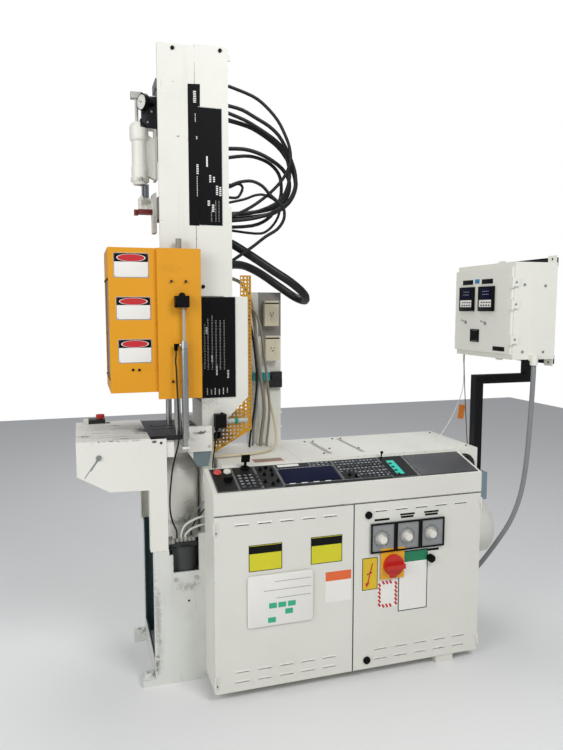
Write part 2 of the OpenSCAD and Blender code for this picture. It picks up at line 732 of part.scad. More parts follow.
// Safety gate
module safety_gate() {
    s = gate_sheet;
    h = gate_half;
    cx = -82;
    win = [1300, 1700];
    color("orange") {
        difference() {
            union() {
                for (k = [-1, 1]) scale([1, k, 1]) {
                    block([gate_left, -h, gate_bottom], [cx + s, -h + s, gate_top]);
                    block([cx, -h - channel_out, channel_bottom], [cx + s, -h + s, gate_top]);
                    block([cx, -h - channel_out, channel_bottom],
                        [gate_right, -h - channel_out + s, gate_top]);
                    block([gate_right - s, -h - channel_out, channel_bottom],
                        [gate_right, -h + s, gate_top]);
                    block([cx, -h - channel_out, gate_top - s], [gate_right, -h + s, gate_top]);
                    block([gate_left, -h, gate_bottom - 8], [cx, -h + 12, gate_bottom]);
                }
                block([gate_left, -h, gate_bottom], [gate_left + s, h, gate_top]);
                block([gate_left, -h, gate_top - s], [cx, h, gate_top]);
                block([gate_left, -h, gate_bottom - 8], [gate_left + 12, h, gate_bottom]);
            }
            block([gate_left - 1, -h + 40, win[0]], [gate_left + s + 1, h - 40, win[1]]);
        }
        for (k = [-1, 1]) for (x = [-25, 34]) for (z = [1285, 1695])
            rod_y(5, min(k * (h + channel_out), k * (h + channel_out + 3)),
                max(k * (h + channel_out), k * (h + channel_out + 3)), x, z);
    }
    color("gray") {
        rod_z(12, gate_top, gate_top + 42, 12, -h + 16);
        block([-6, -h + 2, gate_top - 12], [30, -h + 30, gate_top]);
    }
}

module gate_rod() {
    y = lift_y;
    color("black") {
        difference() {
            block([-14, y - 20, bracket_low], [42, -gate_half - channel_out, bracket_high]);
            block([-15, y - 21, bracket_low - 1], [-4, y + 4, bracket_low + 10]);
        }
        translate([lift_x - 6, y, bracket_high]) sphere(r = 14, $fn = 32);
    }
    color("silver") {
        rod_z(rod_r, 1400, bracket_low, lift_x, y);
        rod_z(barrel_r - 4 - shaft_gap, 1384, 1400, lift_x, y);
    }
}
module air_cylinder() {
    x = lift_x;
    y = lift_y;
    color("silver") {
        difference() {
            union() {
                rod_z(barrel_r - 1, barrel_low, barrel_high, x, y);
                rod_z(barrel_r, barrel_low, barrel_low + 22, x, y);
                rod_z(barrel_r, barrel_high - 24, barrel_high, x, y);
                rod_z(rod_r + 4, barrel_high, barrel_high + 6, x, y);
                block([x - 9, y - 9, 1014 + gap], [x + 9, y + 9, barrel_low]);
            }
            rod_z(barrel_r - 4, barrel_low + 12, barrel_high - 12, x, y);
            rod_z(rod_r + shaft_gap, barrel_high - 13, barrel_high + 7, x, y);
        }
        rod_x(6, x - 34, x - barrel_r + 1, y, barrel_high - 12);
        hex_z(14, barrel_high - 34, barrel_high - 6, x - 34, y);
    }
}

// Rear post, boxes and switches
post_left = 385;
post_right = 548;
post_front = 150;
post_back = 192;
module cable_post() {
    color("white") {
        difference() {
            block([post_left, post_front, deck_top], [post_right, post_back, head_top + 26]);
            block([post_left + 3, post_front + 3, deck_top - 1],
                [post_right - 3, post_back + 1, head_top + 23]);
        }
        for (z = [1003, 1073]) rod_x(5, post_right, post_right + 12, 170, z);
        block([post_left, post_front - 30, deck_top], [post_right, post_front, deck_top + 4]);
    }
    color("gray") block([436, post_front - 2, 1453], [post_right - 1, post_front, 1662]);
    color("black") {
        block([482, post_front - 24, 1204], [post_right, post_front, 1244]);
        block([496, post_front - 32, 1244], [post_right - 3, post_front, 1281]);
    }
    color("teal") block([402, post_front - 38, 1240], [486, post_front, 1278]);
}
module outlet_boxes() {
    color("beige") for (p = [[458, 1504], [462, 1338]]) difference() {
        union() {
            block([p[0], 112, p[1]], [p[0] + 66, 148, p[1] + 116]);
            block([p[0] - 2, 109, p[1] - 2], [p[0] + 68, 112, p[1] + 118]);
        }
        for (z = [34, 82]) rod_y(15, 108, 110.5, p[0] + 33, p[1] + z);
    }
}
module limit_switches() {
    y = -col_half;
    side = col_left + neck;
    color([0.1, 0.1, 0.11]) {
        block([158, y - 42, 1074], [206, y - gap, 1132]);
        rod_z(8, 1060, 1074, 166, y - 20);
        rod_z(6, 1132, 1138, 190, y - 20);
        block([side + gap, -98, 1014], [side + 38, -62, 1046]);
    }
    color("silver") rod_x(10, 206, 302, y - 22, 1100);
    color("green") rod_x(14, 246, 258, y - 22, 1100);
    color("gray") block([side + gap, -100, 1046], [side + 41, -60, 1077]);
}

// Cabinet
feet = [1095];
module cabinet_shell() {
    s = cab_sheet;
    color("gainsboro") {
        difference() {
            block([cab_left, shell_front, cab_bottom], [cab_right, cab_back, door_top]);
            block([cab_left + s, shell_front - 1, cab_bottom + s],
                [cab_right - s, cab_back - s, door_top - s]);
        }
        for (x = [cab_left + s, cab_right - s - 16])
            block([x, shell_front, cab_bottom + s], [x + 16, shell_front + s, door_top - s]);
        difference() {
            plate_yz([[cab_front, door_top + 3], [cab_front, console_front], [cab_back, console_back],
                [cab_back, door_top],
                [shell_front, door_top], [shell_front, door_top + 3]], cab_left, cab_right);
            for (b = console_bores) on_console(b[0], b[1]) translate([0, 0, -16])
                cylinder(r = b[2], h = 40, $fn = fine);
        }
        // Hinge leaves and knuckles
        for (x = [cab_left, cab_right]) for (z = hinge_z) {
            side = x == cab_left ? -1 : 1;
            block([min(x, x + side * 2), hinge_y, z],
                [max(x, x + side * 2), shell_front + 16, z + hinge_long]);
            rod_z(hinge_r, z, z + hinge_long, x + side * 0, hinge_y);
        }
        for (x = feet) block([x, cab_front + 4, 0], [x + 86, cab_front + 80, cab_bottom]);
        for (x = feet) block([x, cab_back - 60, 0], [x + 86, cab_back - 6, cab_bottom]);
        // Mounting plate with contactor rows
        block([cab_left + 60, cab_back - s - 22, 90], [cab_right - 60, cab_back - s - 18, 730]);
        for (x = [cab_left + 80, cab_right - 100]) for (z = [120, 700])
            rod_y(6, cab_back - s - 18, cab_back - s, x, z);
    }
    color("dimgray") for (z = [170, 390, 600]) {
        block([cab_left + 90, cab_back - 40, z + 20], [cab_right - 90, cab_back - s - 22, z + 34]);
        for (i = [0 : 9]) block([cab_left + 110 + i * 104, cab_back - 100, z - 10],
            [cab_left + 178 + i * 104, cab_back - 40, z + 66]);
    }
}
// Controls on the console: x, distance up the slope, bore radius
slope = atan((console_back - console_front) / (cab_back - cab_front));
console_deep = norm([console_back - console_front, cab_back - cab_front]);
console_bores = [[139, 157, 11.3], [180, 158, 11.3], [170, 92, 11.3], [262, 182, 8.3], [895, 186, 6.3]];
module on_console(x, d) {
    translate([x, cab_front, console_front]) rotate([slope, 0, 0]) translate([0, d, 0]) children();
}
module console_panel() {
    color([0.2, 0.22, 0.24]) difference() {
        union() {
            on_console(0, 0) block([cab_left + 18, 10, gap], [1000, console_deep - 8, 2]);
            on_console(0, 0) block([1004, 10, gap], [cab_right - 12, console_deep - 8, 2]);
            on_console(0, 0) block([400, 38, 2], [640, 112, 3.5]);
            for (i = [0 : 4]) for (j = [0 : 3]) on_console(0, 0)
                block([238 + i * 17, 34 + j * 26, 2], [249 + i * 17, 48 + j * 26, 3.2]);
            for (i = [0 : 11]) for (j = [0 : 3]) on_console(0, 0)
                block([676 + i * 21, 34 + j * 30, 2], [690 + i * 21, 48 + j * 30, 3.2]);
        }
        for (b = console_bores) on_console(b[0], b[1]) translate([0, 0, -16])
            cylinder(r = b[2], h = 40, $fn = fine);
    }
}
module push_button(i, cap) {
    b = console_bores[i];
    on_console(b[0], b[1]) {
        translate([0, 0, -11]) cylinder(r = b[2] - shaft_gap, h = 17, $fn = fine);
        translate([0, 0, 6 + gap]) cylinder(r1 = cap, r2 = cap - 2, h = 7, $fn = fine);
        translate([0, 0, 5]) cylinder(r = b[2] - 3, h = 2, $fn = fine);
    }
}
module red_button() {
    color("crimson") push_button(0, 17);
}
module white_button() {
    color("ivory") push_button(1, 16);
}
module selector() {
    b = console_bores[2];
    color([0.1, 0.1, 0.1]) on_console(b[0], b[1]) {
        translate([0, 0, -11]) cylinder(r = b[2] - shaft_gap, h = 14, $fn = fine);
        translate([0, 0, 2 + gap]) cylinder(r = 15, h = 6, $fn = fine);
        block([-18, -5, 6], [18, 5, 20]);
    }
}
module key_knob() {
    b = console_bores[3];
    color([0.12, 0.1, 0.1]) on_console(b[0], b[1]) {
        translate([0, 0, -11]) cylinder(r = b[2] - shaft_gap, h = 24, $fn = fine);
        translate([0, 0, 2 + gap]) cylinder(r = 19, h = 6, $fn = fine);
        translate([0, 0, 12]) cylinder(r = 6, h = 26, $fn = fine);
        block([-18, -3.5, 34], [18, 3.5, 66]);
    }
}
module lever() {
    b = console_bores[4];
    color([0.1, 0.1, 0.1]) on_console(b[0], b[1]) {
        translate([0, 0, 3]) cylinder(r = 3, h = 24, $fn = fine);
        translate([0, 0, 30]) sphere(r = 7, $fn = 32);
        sphere(r = b[2] - shaft_gap, $fn = 32);
    }
}
module louvres(x0, z0, n, step) {
    for (i = [0 : n - 1])
        plate_yz([[cab_front, z0], [cab_front, z0 - louvre_high], [cab_front - 6, z0 - louvre_high]],
            x0 + i * step, x0 + i * step + louvre_long);
}
module louvre_cuts(x0, z0, n, step) {
    for (i = [0 : n - 1])
        block([x0 + i * step + 3, cab_front - 8, z0 - louvre_high - 1],
            [x0 + i * step + louvre_long - 3, cab_front + 3, z0 - louvre_high + 4]);
}
module door(x0, x1, hinge_x, cuts) {
    s = cab_sheet;
    difference() {
        union() {
            difference() {
                block([x0, cab_front, door_bottom], [x1, door_back, door_top]);
                block([x0 + s, cab_front + s, door_bottom + s], [x1 - s, door_back + 1, door_top - s]);
            }
            for (c = cuts) louvres(c[0], c[1], c[2], c[3]);
            for (z = hinge_z) {
                rod_z(hinge_r, z + hinge_long + gap, z + 2 * hinge_long, hinge_x, hinge_y);
                block([min(hinge_x, hinge_x < x0 + 9 ? hinge_x + 12 : hinge_x - 12), hinge_y,
                    z + hinge_long + gap],
                    [max(hinge_x, hinge_x < x0 + 9 ? hinge_x + 12 : hinge_x - 12), cab_front,
                        z + 2 * hinge_long]);
            }
        }
        for (c = cuts) louvre_cuts(c[0], c[1], c[2], c[3]);
        children();
    }
}
left_rows = [[173, 737, 5, 94], [173, 124, 5, 94], [173, 82, 5, 94]];
right_rows = [[780, 738, 5, 96], [787, 124, 5, 96], [787, 81, 5, 96]];
module left_door() {
    color("lightgray") door(cab_left + gap, door_split - 1, cab_left, left_rows);
}
latch_x = 754;
latch_z = [718, 75];
timer_x = [765, 883, 1001];
timer_z = 555;
timer_side = 108;
timer_high = 122;
module right_door() {
    color("lightgray") door(door_split + 1, cab_right - gap, cab_right, right_rows) {
        for (z = latch_z) rod_y(9 + shaft_gap, cab_front - 1, cab_front + 6, latch_x, z);
        for (i = [0 : 2]) rod_y(5, cab_front - 1, cab_front + 6, knob_x[i], knob_z[i]);
        rod_y(9, cab_front - 1, cab_front + 6, 868, 492);
        rod_y(5 + shaft_gap, cab_front - 1, cab_front + 6, small_x, small_z);
    }
}
module latch(z) {
    y = cab_front;
    color([0.08, 0.08, 0.08]) {
        rod_y(9, y - 4, y + 14, latch_x, z);
        difference() {
            rod_y(16, y - 6, y - gap, latch_x, z);
            block([latch_x - 12, y - 7, z - 1.6], [latch_x + 12, y - 4.5, z + 1.6]);
        }
        block([latch_x - 34, y + 10, z - 8], [latch_x + 9, y + 13, z + 8]);
    }
}
module upper_latch() {
    latch(latch_z[0]);
}
module lower_latch() {
    latch(latch_z[1]);
}
knob_x = [812, 932, 1048];
knob_z = [612, 613, 614];
knob_r = 19;
small_x = 1051;
small_z = 499;
dis_x = 868;
dis_z = 492;
module door_instruments() {
    y = cab_front;
    color("gray") for (i = [0 : 2]) difference() {
        union() {
            block([timer_x[i], y - 8, timer_z],
                [timer_x[i] + timer_side, y - gap, timer_z + timer_high]);
            difference() {
                block([timer_x[i] - 3, y - 11, timer_z - 3],
                    [timer_x[i] + timer_side + 3, y - gap, timer_z + timer_high + 3]);
                block([timer_x[i] + 4, y - 12, timer_z + 4],
                    [timer_x[i] + timer_side - 4, y - 8, timer_z + timer_high - 4]);
            }
        }
        rod_y(5, y - 13, y, knob_x[i], knob_z[i]);
    }
    color("gold") difference() {
        block([dis_x - 58, y - 8, dis_z - 62], [dis_x + 54, y - gap, dis_z + 72]);
        rod_y(9, y - 9, y, dis_x, dis_z);
    }
}
module timer_knob(i) {
    y = cab_front;
    color("white") {
        rod_y(5 - shaft_gap, y - 10, y + 4, knob_x[i], knob_z[i]);
        translate([knob_x[i], y - 8.5, knob_z[i]]) rotate([90, 0, 0])
            cylinder(r1 = knob_r, r2 = knob_r - 3, h = 24, $fn = fine);
        translate([knob_x[i], y - 32, knob_z[i]]) rotate([90, 0, 0])
            cylinder(r = knob_r - 8, h = 4, $fn = fine);
    }
}
module timer_knob_1() {
    timer_knob(0);
}
module timer_knob_2() {
    timer_knob(1);
}
module timer_knob_3() {
    timer_knob(2);
}
module disconnect_handle() {
    y = cab_front;
    color("red") {
        rod_y(9 - shaft_gap, y - 9, y + 8, dis_x, dis_z);
        rod_y(46, y - 24, y - 8 - gap, dis_x, dis_z);
        block([dis_x - 42, y - 46, dis_z - 9], [dis_x + 42, y - 24, dis_z + 9]);
        block([dis_x - 14, y - 16, dis_z - 56], [dis_x + 14, y - 8 - gap, dis_z - 40]);
    }
}
module small_knob() {
    y = cab_front;
    color([0.08, 0.08, 0.08]) {
        rod_y(5, y - 4, y + 6, small_x, small_z);
        difference() {
            rod_y(17, y - 20, y - gap, small_x, small_z);
            for (a = [0 : 60 : 300]) translate([small_x, 0, small_z]) rotate([0, a, 0])
                block([15.5, y - 21, -2], [19, y - 3, 2]);
        }
        block([small_x - 3, y - 24, small_z], [small_x + 3, y - 20, small_z + 15]);
    }
}
stop_x = -307;
stop_y = ped_half - 35;
module stop_button() {
    color("red") {
        rod_z(10 - shaft_gap, table_top + 10, table_top + 24, stop_x, stop_y);
        rod_z(19, table_top + 24, table_top + 39, stop_x, stop_y);
    }
}

// Stand and control box
arm_z = 1268;
stand_x = base_right + 4;
stand_y = -205;
stub_x = box_face + box_deep + 24;
module control_stand() {
    t = stand_tube;
    near = box_near + 26;
    far = box_near + box_wide + 20;
    ear = 40;
    color([0.1, 0.1, 0.11]) {
        block([stand_x, stand_y, 700], [stand_x + t, stand_y + t, arm_z]);
        block([stand_x + t, stand_y, arm_z - t], [stub_x + t, stand_y + t, arm_z]);
        block([stub_x, stand_y, arm_z], [stub_x + t, stand_y + t, box_bottom + box_high - 30]);
        for (z = [box_bottom - 26, box_bottom + box_high - 14]) difference() {
            block([box_face + box_deep + 3 + gap, near, z], [stub_x, far, z + ear]);
            block([box_face + box_deep + 7, near - 1, z + 6], [stub_x - 4, far + 1, z + ear - 6]);
        }
        for (z = [wiring_high + 9, wiring_high + 62])
            block([base_right + gap, stand_y - 30, z], [stand_x, stand_y + t + 30, z + 40]);
    }
}
lip = 16;
hub_x = 1550;
hub_y = box_near - 18;
module control_box_shell() {
    s = 2.5;
    x0 = box_face + 12;
    x1 = box_face + box_deep;
    y1 = box_near + box_wide;
    z1 = box_bottom + box_high;
    color("white") {
        difference() {
            block([x0, box_near, box_bottom], [x1, y1, z1]);
            block([x0 - 1, box_near + lip, box_bottom + lip], [x0 + s, y1 - lip, z1 - lip]);
            block([x0 + s, box_near + s, box_bottom + s], [x1 - s, y1 - s, z1 - s]);
        }
        // Mounting ears
        for (z = [box_bottom - 34, z1 - 20]) for (y = [box_near + 10, y1 - 66]) difference() {
            block([x1, y, z], [x1 + 3, y + 56, z + 54]);
            rod_x(6, x1 - 1, x1 + 4, y + 28, z == z1 - 20 ? z + 38 : z + 16);
        }
        block([x1 - s - 14, box_near + 50, box_bottom + 40], [x1 - s - 11, y1 - 50, z1 - 40]);
        for (y = [box_near + 80, y1 - 80]) for (z = [box_bottom + 70, z1 - 70])
            rod_x(5, x1 - s - 11, x1 - s, y, z);
        for (z = box_hinge_z) {
            rod_z(hinge_r, z - 20 - gap, z - gap, box_hinge_x, box_hinge_y);
            block([box_hinge_x, box_hinge_y - 3, z - 20 - gap], [x0 + 30, box_hinge_y, z - gap]);
            block([x0 + 2, y1, z - 20 - gap], [x0 + 30, box_hinge_y - 3, z - gap]);
        }
        // Conduit hub on the near side
        rod_z(17, box_bottom - 24, box_bottom + 22, hub_x, hub_y);
        block([hub_x - 16, box_near - 18, box_bottom - 4], [hub_x + 16, box_near, box_bottom + 22]);
    }
}
module box_door() {
    s = 2.5;
    x0 = box_face;
    x1 = box_face + 12 - gap;
    y0 = box_near + 6;
    y1 = box_near + box_wide + 2;
    z0 = box_bottom + 24;
    z1 = box_bottom + box_high - 24;
    color("whitesmoke") {
        difference() {
            block([x0, y0, z0], [x1, y1, z1]);
            block([x0 + s, y0 + s, z0 + s], [x1 + 1, y1 - s, z1 - s]);
            for (p = toggle_at) rod_x(6, x0 - 1, x0 + s + 1, p[0], p[1]);
            block([x0 - 1, rocker_at[0] - rocker_w - gap, rocker_at[1] - rocker_h - gap],
                [x0 + s + 1, rocker_at[0] + rocker_w + gap, rocker_at[1] + rocker_h + gap]);
        }
        // Clamps on the near edge
        for (z = [box_bottom + 66, box_bottom + 222, box_bottom + box_high - 114]) {
            block([x0 - 6, box_near - 9, z], [x0 + s, y0 + 20, z + 48]);
            block([x0 - 6, box_near - 9, z + 6], [x0 + 32, box_near - 1, z + 42]);
        }
        for (z = box_hinge_z) {
            rod_z(hinge_r, z, z + 20, box_hinge_x, box_hinge_y);
            block([x0 + 2, y1 - 1, z], [box_hinge_x, box_hinge_y, z + 20]);
        }
    }
}
box_hinge_x = box_face + 8;
box_hinge_y = box_near + box_wide + 7;
box_hinge_z = [box_bottom + 70, box_bottom + box_high - 90];
box_far = box_near + box_wide;
toggle_at = [[box_far - 91, 1518], [box_far - 253, 1516]];
rocker_at = [box_far - 171, 1456];
rocker_w = 27;
rocker_h = 23;
control_w = 120;
module controllers() {
    x = box_face;
    color([0.06, 0.06, 0.1]) {
        for (y = [box_far - 163, box_far - 321]) {
            block([x - 10, y, 1573], [x - gap, y + control_w, 1688]);
            block([x - 12, y + 10, 1590], [x - 10, y + control_w - 14, 1626]);
        }
        // Frame of the rocker switch
        difference() {
            block([x - 4, rocker_at[0] - rocker_w - 8, rocker_at[1] - rocker_h - 7],
                [x - gap, rocker_at[0] + rocker_w + 8, rocker_at[1] + rocker_h + 7]);
            block([x - 5, rocker_at[0] - rocker_w - gap, rocker_at[1] - rocker_h - 2],
                [x, rocker_at[0] + rocker_w + gap, rocker_at[1] + rocker_h + 2]);
        }
    }
}
module toggle(i) {
    p = toggle_at[i];
    color("silver") {
        translate([box_face + 1, p[0], p[1]]) sphere(r = 6 - shaft_gap, $fn = 32);
        translate([box_face + 1, p[0], p[1]]) rotate([0, -68, 0])
            cylinder(r1 = 2.5, r2 = 4, h = 28, $fn = 24);
    }
}
module left_toggle() {
    toggle(0);
}
module right_toggle() {
    toggle(1);
}
module rocker() {
    x = box_face;
    p = rocker_at;
    color([0.06, 0.06, 0.08])
        plate_xz([[x - 9, p[1] + rocker_h], [x - 4, p[1]], [x - 4.5, p[1] - rocker_h],
            [x + 7, p[1] - 15], [x + 7, p[1] + 15]],
            p[0] - rocker_w, p[0] + rocker_w);
}

// Hoses, conduits and wires
fit_x = tower_right + 4;
riser_x = 330;
conduit_x = 218;
// Each loop of hose: its plane, diameter, upper and lower end, and the points between
loops = [
    [-66, 14, 2524, 1978, [[354, 2494], [412, 2458], [466, 2404], [500, 2346], [522, 2290], [526, 2234],
        [504, 2174], [464, 2122], [412, 2074], [342, 2024]]],
    [-42, 16, 2452, 1966, [[314, 2440], [374, 2412], [434, 2382], [480, 2344], [516, 2288], [542, 2232],
        [558, 2176], [554, 2118], [526, 2064], [480, 2026], [410, 1994], [334, 1976]]],
    [-18, 16, 2430, 1996, [[328, 2406], [388, 2378], [456, 2340], [504, 2300], [528, 2244], [538, 2178],
        [522, 2112], [484, 2062], [416, 2026], [340, 2004]]],
    [8, 20, 2408, 1980, [[350, 2388], [418, 2358], [488, 2312], [530, 2264], [562, 2208], [576, 2150],
        [562, 2096], [526, 2050], [464, 2014], [386, 1996]]],
    [34, 18, 2290, 2006, [[340, 2294], [410, 2280], [472, 2252], [520, 2218], [550, 2174], [552, 2122],
        [528, 2076], [472, 2040], [376, 2018]]],
    [58, 16, 2254, 1950, [[346, 2270], [408, 2266], [470, 2242], [510, 2200], [522, 2148], [518, 2094],
        [494, 2040], [454, 1994], [382, 1962]]],
    [-90, 14, 2110, 1790, [[292, 2126], [344, 2132], [390, 2114], [424, 2080], [466, 2046], [488, 2020],
        [488, 1976], [458, 1932], [404, 1898], [344, 1852]]],
    [80, 12, 2058, 1944, [[350, 2082], [406, 2104], [452, 2106], [502, 2082], [522, 2046], [504, 1992],
        [460, 1944], [404, 1930]]],
    [-66, 12, 2106, 2062, [[288, 2122], [308, 2106], [288, 2066]]]];
module loop_hoses() {
    x = fit_x + gap;
    color([0.08, 0.08, 0.08]) for (h = loops)
        cord(concat([[x, h[0], up(h[2])], [x + 16, h[0], up(h[2])]],
            [for (p = h[4]) [p[0], h[0], up(p[1])]],
            [[x + 16, h[0], up(h[3])], [x, h[0], up(h[3])]]), h[1]);
}
conduit_d = 38;
conduit_path = [[conduit_x, 0, 1880], [240, 0, 1880], [270, -6, 1872], [312, -20, 1846],
    [380, -42, 1800],
    [450, -60, 1752], [530, -66, 1702], [600, -40, 1652], [630, 30, 1622], [600, 96, 1640],
        [530, 120, 1690],
    [440, 118, 1748], [360, 90, 1780], [300, 46, 1784], [262, 8, 1778], [240, 0, 1776],
        [conduit_x, 0, 1776]];
module main_conduit() {
    color([0.06, 0.06, 0.06])
        cord([for (p = conduit_path) [p[0], p[1], up(p[2])]], conduit_d, side = [0, 0, 1], sides = 12);
}
base_z = deck_top + gap;
risers = [
    [16, [[fit_x + gap, 70, up(1726)], [252, 70, up(1726)], [290, 72, up(1722)], [340, 76, up(1696)],
        [376, 80, 1630], [396, 82, 1540], [410, 84, 1400], [430, 84, 1250], [446, 88, 1110],
            [436, 96, 1000],
        [430, 96, 945], [430, 96, base_z]]],
    [12, [[riser_x + gap, 112, 1600], [342, 112, 1600], [362, 112, 1584], [376, 110, 1550],
        [390, 106, 1480],
        [408, 102, 1360], [418, 102, 1250], [412, 106, 1120], [400, 110, 1020], [396, 112, 945],
        [396, 112, base_z]]],
    [12, [[riser_x + gap, 62, 1600], [342, 62, 1600], [370, 60, 1592], [400, 58, 1560], [424, 60, 1480],
        [442, 68, 1360], [458, 76, 1250], [470, 80, 1120], [466, 86, 1020], [458, 90, 945],
            [458, 90, base_z]]],
    [10, [[riser_x + gap, 86, 1584], [340, 86, 1584], [354, 82, 1570], [366, 76, 1540], [382, 66, 1480],
        [396, 64, 1360], [404, 64, 1250], [394, 70, 1120], [380, 78, 1020], [372, 86, 945],
            [372, 86, base_z]]],
    [11, [[470, 132, 1239.7], [470, 132, 1222], [475, 118, 1170], [482, 96, 1120], [490, 54, 1030],
        [482, 10, 966], [450, -32, 940], [400, -68, 936], [340, -92, 936], [270, -104, 937],
            [176, -112, 938],
        [neck + col_left + gap, -112, 938]]]];
module riser_hoses() {
    color("darkkhaki") for (h = risers) cord(h[1], h[0], side = [0, 1, 0.02]);
}
hose_z = 620 + gap;
air_hose = [[-13, -218, 1413.7], [-13, -218, 1398], [-16, -220, 1370], [-14, -222, 1340],
    [-12, -226, 1260],
    [-10, -230, 1180], [-8, -232, 1100], [-10, -230, 1040], [-22, -220, 980], [-34, -206, 920],
        [-40, -196, 860],
    [-44, -186, 800], [-44, -182, 740], [-36, -190, 690], [-22, -200, 655], [-20, -202, 636],
    [-20, -202, hose_z]];
// Two stout and two thin hoses from the valve to the base
valve_hoses = [
    [10, [[-2, -202, hose_z], [-2, -202, 634], [10, -206, 668], [40, -212, 692], [90, -214, 708],
        [155, -214, 710], [base_left - gap, -214, 710]]],
    [10, [[16, -202, hose_z], [16, -202, 632], [38, -206, 654], [66, -210, 666], [108, -212, 674],
        [155, -212, 674], [base_left - gap, -212, 674]]],
    [5, [[22, -178, hose_z], [22, -178, 636], [44, -180, 690], [80, -182, 740], [125, -184, 782],
        [156, -184, 800], [base_left - gap, -184, 800]]],
    [7, [[44, -178, hose_z], [44, -178, 636], [60, -180, 676], [90, -182, 715], [130, -184, 754],
        [156, -184, 765], [base_left - gap, -184, 765]]]];
module clamp_hoses() {
    color([0.08, 0.08, 0.08]) cord(air_hose, 7, side = [1, 0, 0]);
    color("white") for (h = valve_hoses) cord(h[1], h[0], side = [0, 1, 0.02]);
}
box_conduit_d = 22;
box_conduit_path = [[hub_x, hub_y, box_bottom - 24 - gap], [hub_x, hub_y, 1300], [1549, -440, 1180],
    [1548, -434, 1050], [1548, -424, 920], [1544, -410, 790], [1534, -392, 690], [1512, -366, 590],
    [1482, -330, 500], [1450, -280, 400], [1422, -238, 326], [1390, -204, 298], [1340, -174, 292],
    [1290, -168, 292], [base_right - 150 + gap, -168, 292]];
module box_conduit() {
    color("gray") cord(box_conduit_path, box_conduit_d, side = [1, 0.6, 0], sides = 10);
}
wire_z = box_bottom - gap;
wire_1 = [[1462, -20, wire_z], [1462, -20, 1330], [1464, -24, 1260], [1456, -30, 1180],
    [1420, -40, 1100],
    [1370, -60, 1030], [1320, -80, 980], [1290, -96, 956], [1284, -100, 940], [1284, -100, base_z]];
wire_2 = [[1480, 0, wire_z], [1480, 0, 1310], [1480, -10, 1200], [1478, -30, 1060], [1470, -60, 930],
    [1450, -100, 850], [1436, -126, 818], [1424, -134, 812], [base_right + gap, -134, 812]];
switch_wire = [[166, -147, 1059.7], [166, -147, 1044], [158, -151, 996], [148, -154, 940],
    [146, -154, 896],
    [150, -152, 872], [158, -150, 862], [base_left - gap, -150, 862]];
module box_wires() {
    color("white") cord(wire_1, 4, side = [0, 1, 0.02]);
    color("black") {
        cord(wire_2, 4, side = [0, 1, 0.3]);
        cord(switch_wire, 6, side = [0, 1, 0]);
    }
}

base_housing();
housing_panels();
fan_grille();
fan_rotor();
pump_motor();
pedestal();
operator_table();
lower_platen();
bed_block();
clamp_cylinder();
clamp_ram();
clamp_valve();
tie_rods();
upper_platen();
c_frame();
tower_frame();
tower_covers();
scale_panels();
perforated_guard();
injection_unit();
injection_screw();
material_receiver();
slide_gate();
safety_gate();
gate_rod();
air_cylinder();
cable_post();
outlet_boxes();
limit_switches();
cabinet_shell();
console_panel();
red_button();
white_button();
selector();
key_knob();
lever();
left_door();
right_door();
upper_latch();
lower_latch();
door_instruments();
timer_knob_1();
timer_knob_2();
timer_knob_3();
disconnect_handle();
small_knob();
stop_button();
control_stand();
control_box_shell();
box_door();
controllers();
left_toggle();
right_toggle();
rocker();
loop_hoses();
main_conduit();
riser_hoses();
clamp_hoses();
box_conduit();
box_wires();
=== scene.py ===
from math import atan2, cos, radians, sin

import bmesh
import bpy
from mathutils import Matrix, Vector


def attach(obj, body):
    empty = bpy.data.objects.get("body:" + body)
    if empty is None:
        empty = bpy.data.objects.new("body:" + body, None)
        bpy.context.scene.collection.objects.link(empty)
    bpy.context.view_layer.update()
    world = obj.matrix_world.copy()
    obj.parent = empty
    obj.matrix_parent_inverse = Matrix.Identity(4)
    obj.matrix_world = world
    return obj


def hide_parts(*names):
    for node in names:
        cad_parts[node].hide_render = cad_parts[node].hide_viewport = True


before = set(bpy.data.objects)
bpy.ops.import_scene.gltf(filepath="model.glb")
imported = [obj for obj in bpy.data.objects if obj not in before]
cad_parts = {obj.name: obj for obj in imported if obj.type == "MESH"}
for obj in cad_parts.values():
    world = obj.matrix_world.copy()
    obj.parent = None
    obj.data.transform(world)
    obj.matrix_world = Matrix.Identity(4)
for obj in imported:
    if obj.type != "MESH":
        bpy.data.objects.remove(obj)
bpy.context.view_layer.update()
scene = bpy.context.scene
mm = 0.001


# Shader nodes

# A new node with its settings and its inputs; an input is a linked output or a value. Gives the node's outputs.
def newNode(tree, kind, inputs, **settings):
    node = tree.nodes.new("ShaderNode" + kind)
    for name, v in settings.items():
        setattr(node, name, v)
    for socket, v in inputs.items():
        if isinstance(v, bpy.types.NodeSocket):
            tree.links.new(v, node.inputs[socket])
        else:
            node.inputs[socket].default_value = v
    return node.outputs


def mathNode(tree, kind, a, b, clamp=False):
    return newNode(tree, "Math", {0: a, 1: b}, operation=kind, use_clamp=clamp)[0]


def vectorNode(tree, kind, *vectors):
    outputs = newNode(tree, "VectorMath", dict(enumerate(vectors)), operation=kind)
    return outputs["Value" if kind in ("DOT_PRODUCT", "LENGTH") else "Vector"]


def noiseNode(tree, vector, scale, detail=3, rough=0.55):
    return newNode(tree, "TexNoise", {"Vector": vector, "Scale": scale, "Detail": detail, "Roughness": rough})["Fac"]


def rampNode(tree, value, low, high, start=0.0, stop=1.0):
    ends = {"From Min": low, "From Max": high, "To Min": start, "To Max": stop}
    return newNode(tree, "MapRange", {"Value": value, **ends})["Result"]


def colourMix(tree, factor, a, b):
    a, b = [(*v, 1) if isinstance(v, tuple) else v for v in (a, b)]
    return newNode(tree, "Mix", {0: factor, 6: a, 7: b}, data_type="RGBA")[2]


# Camera and lights

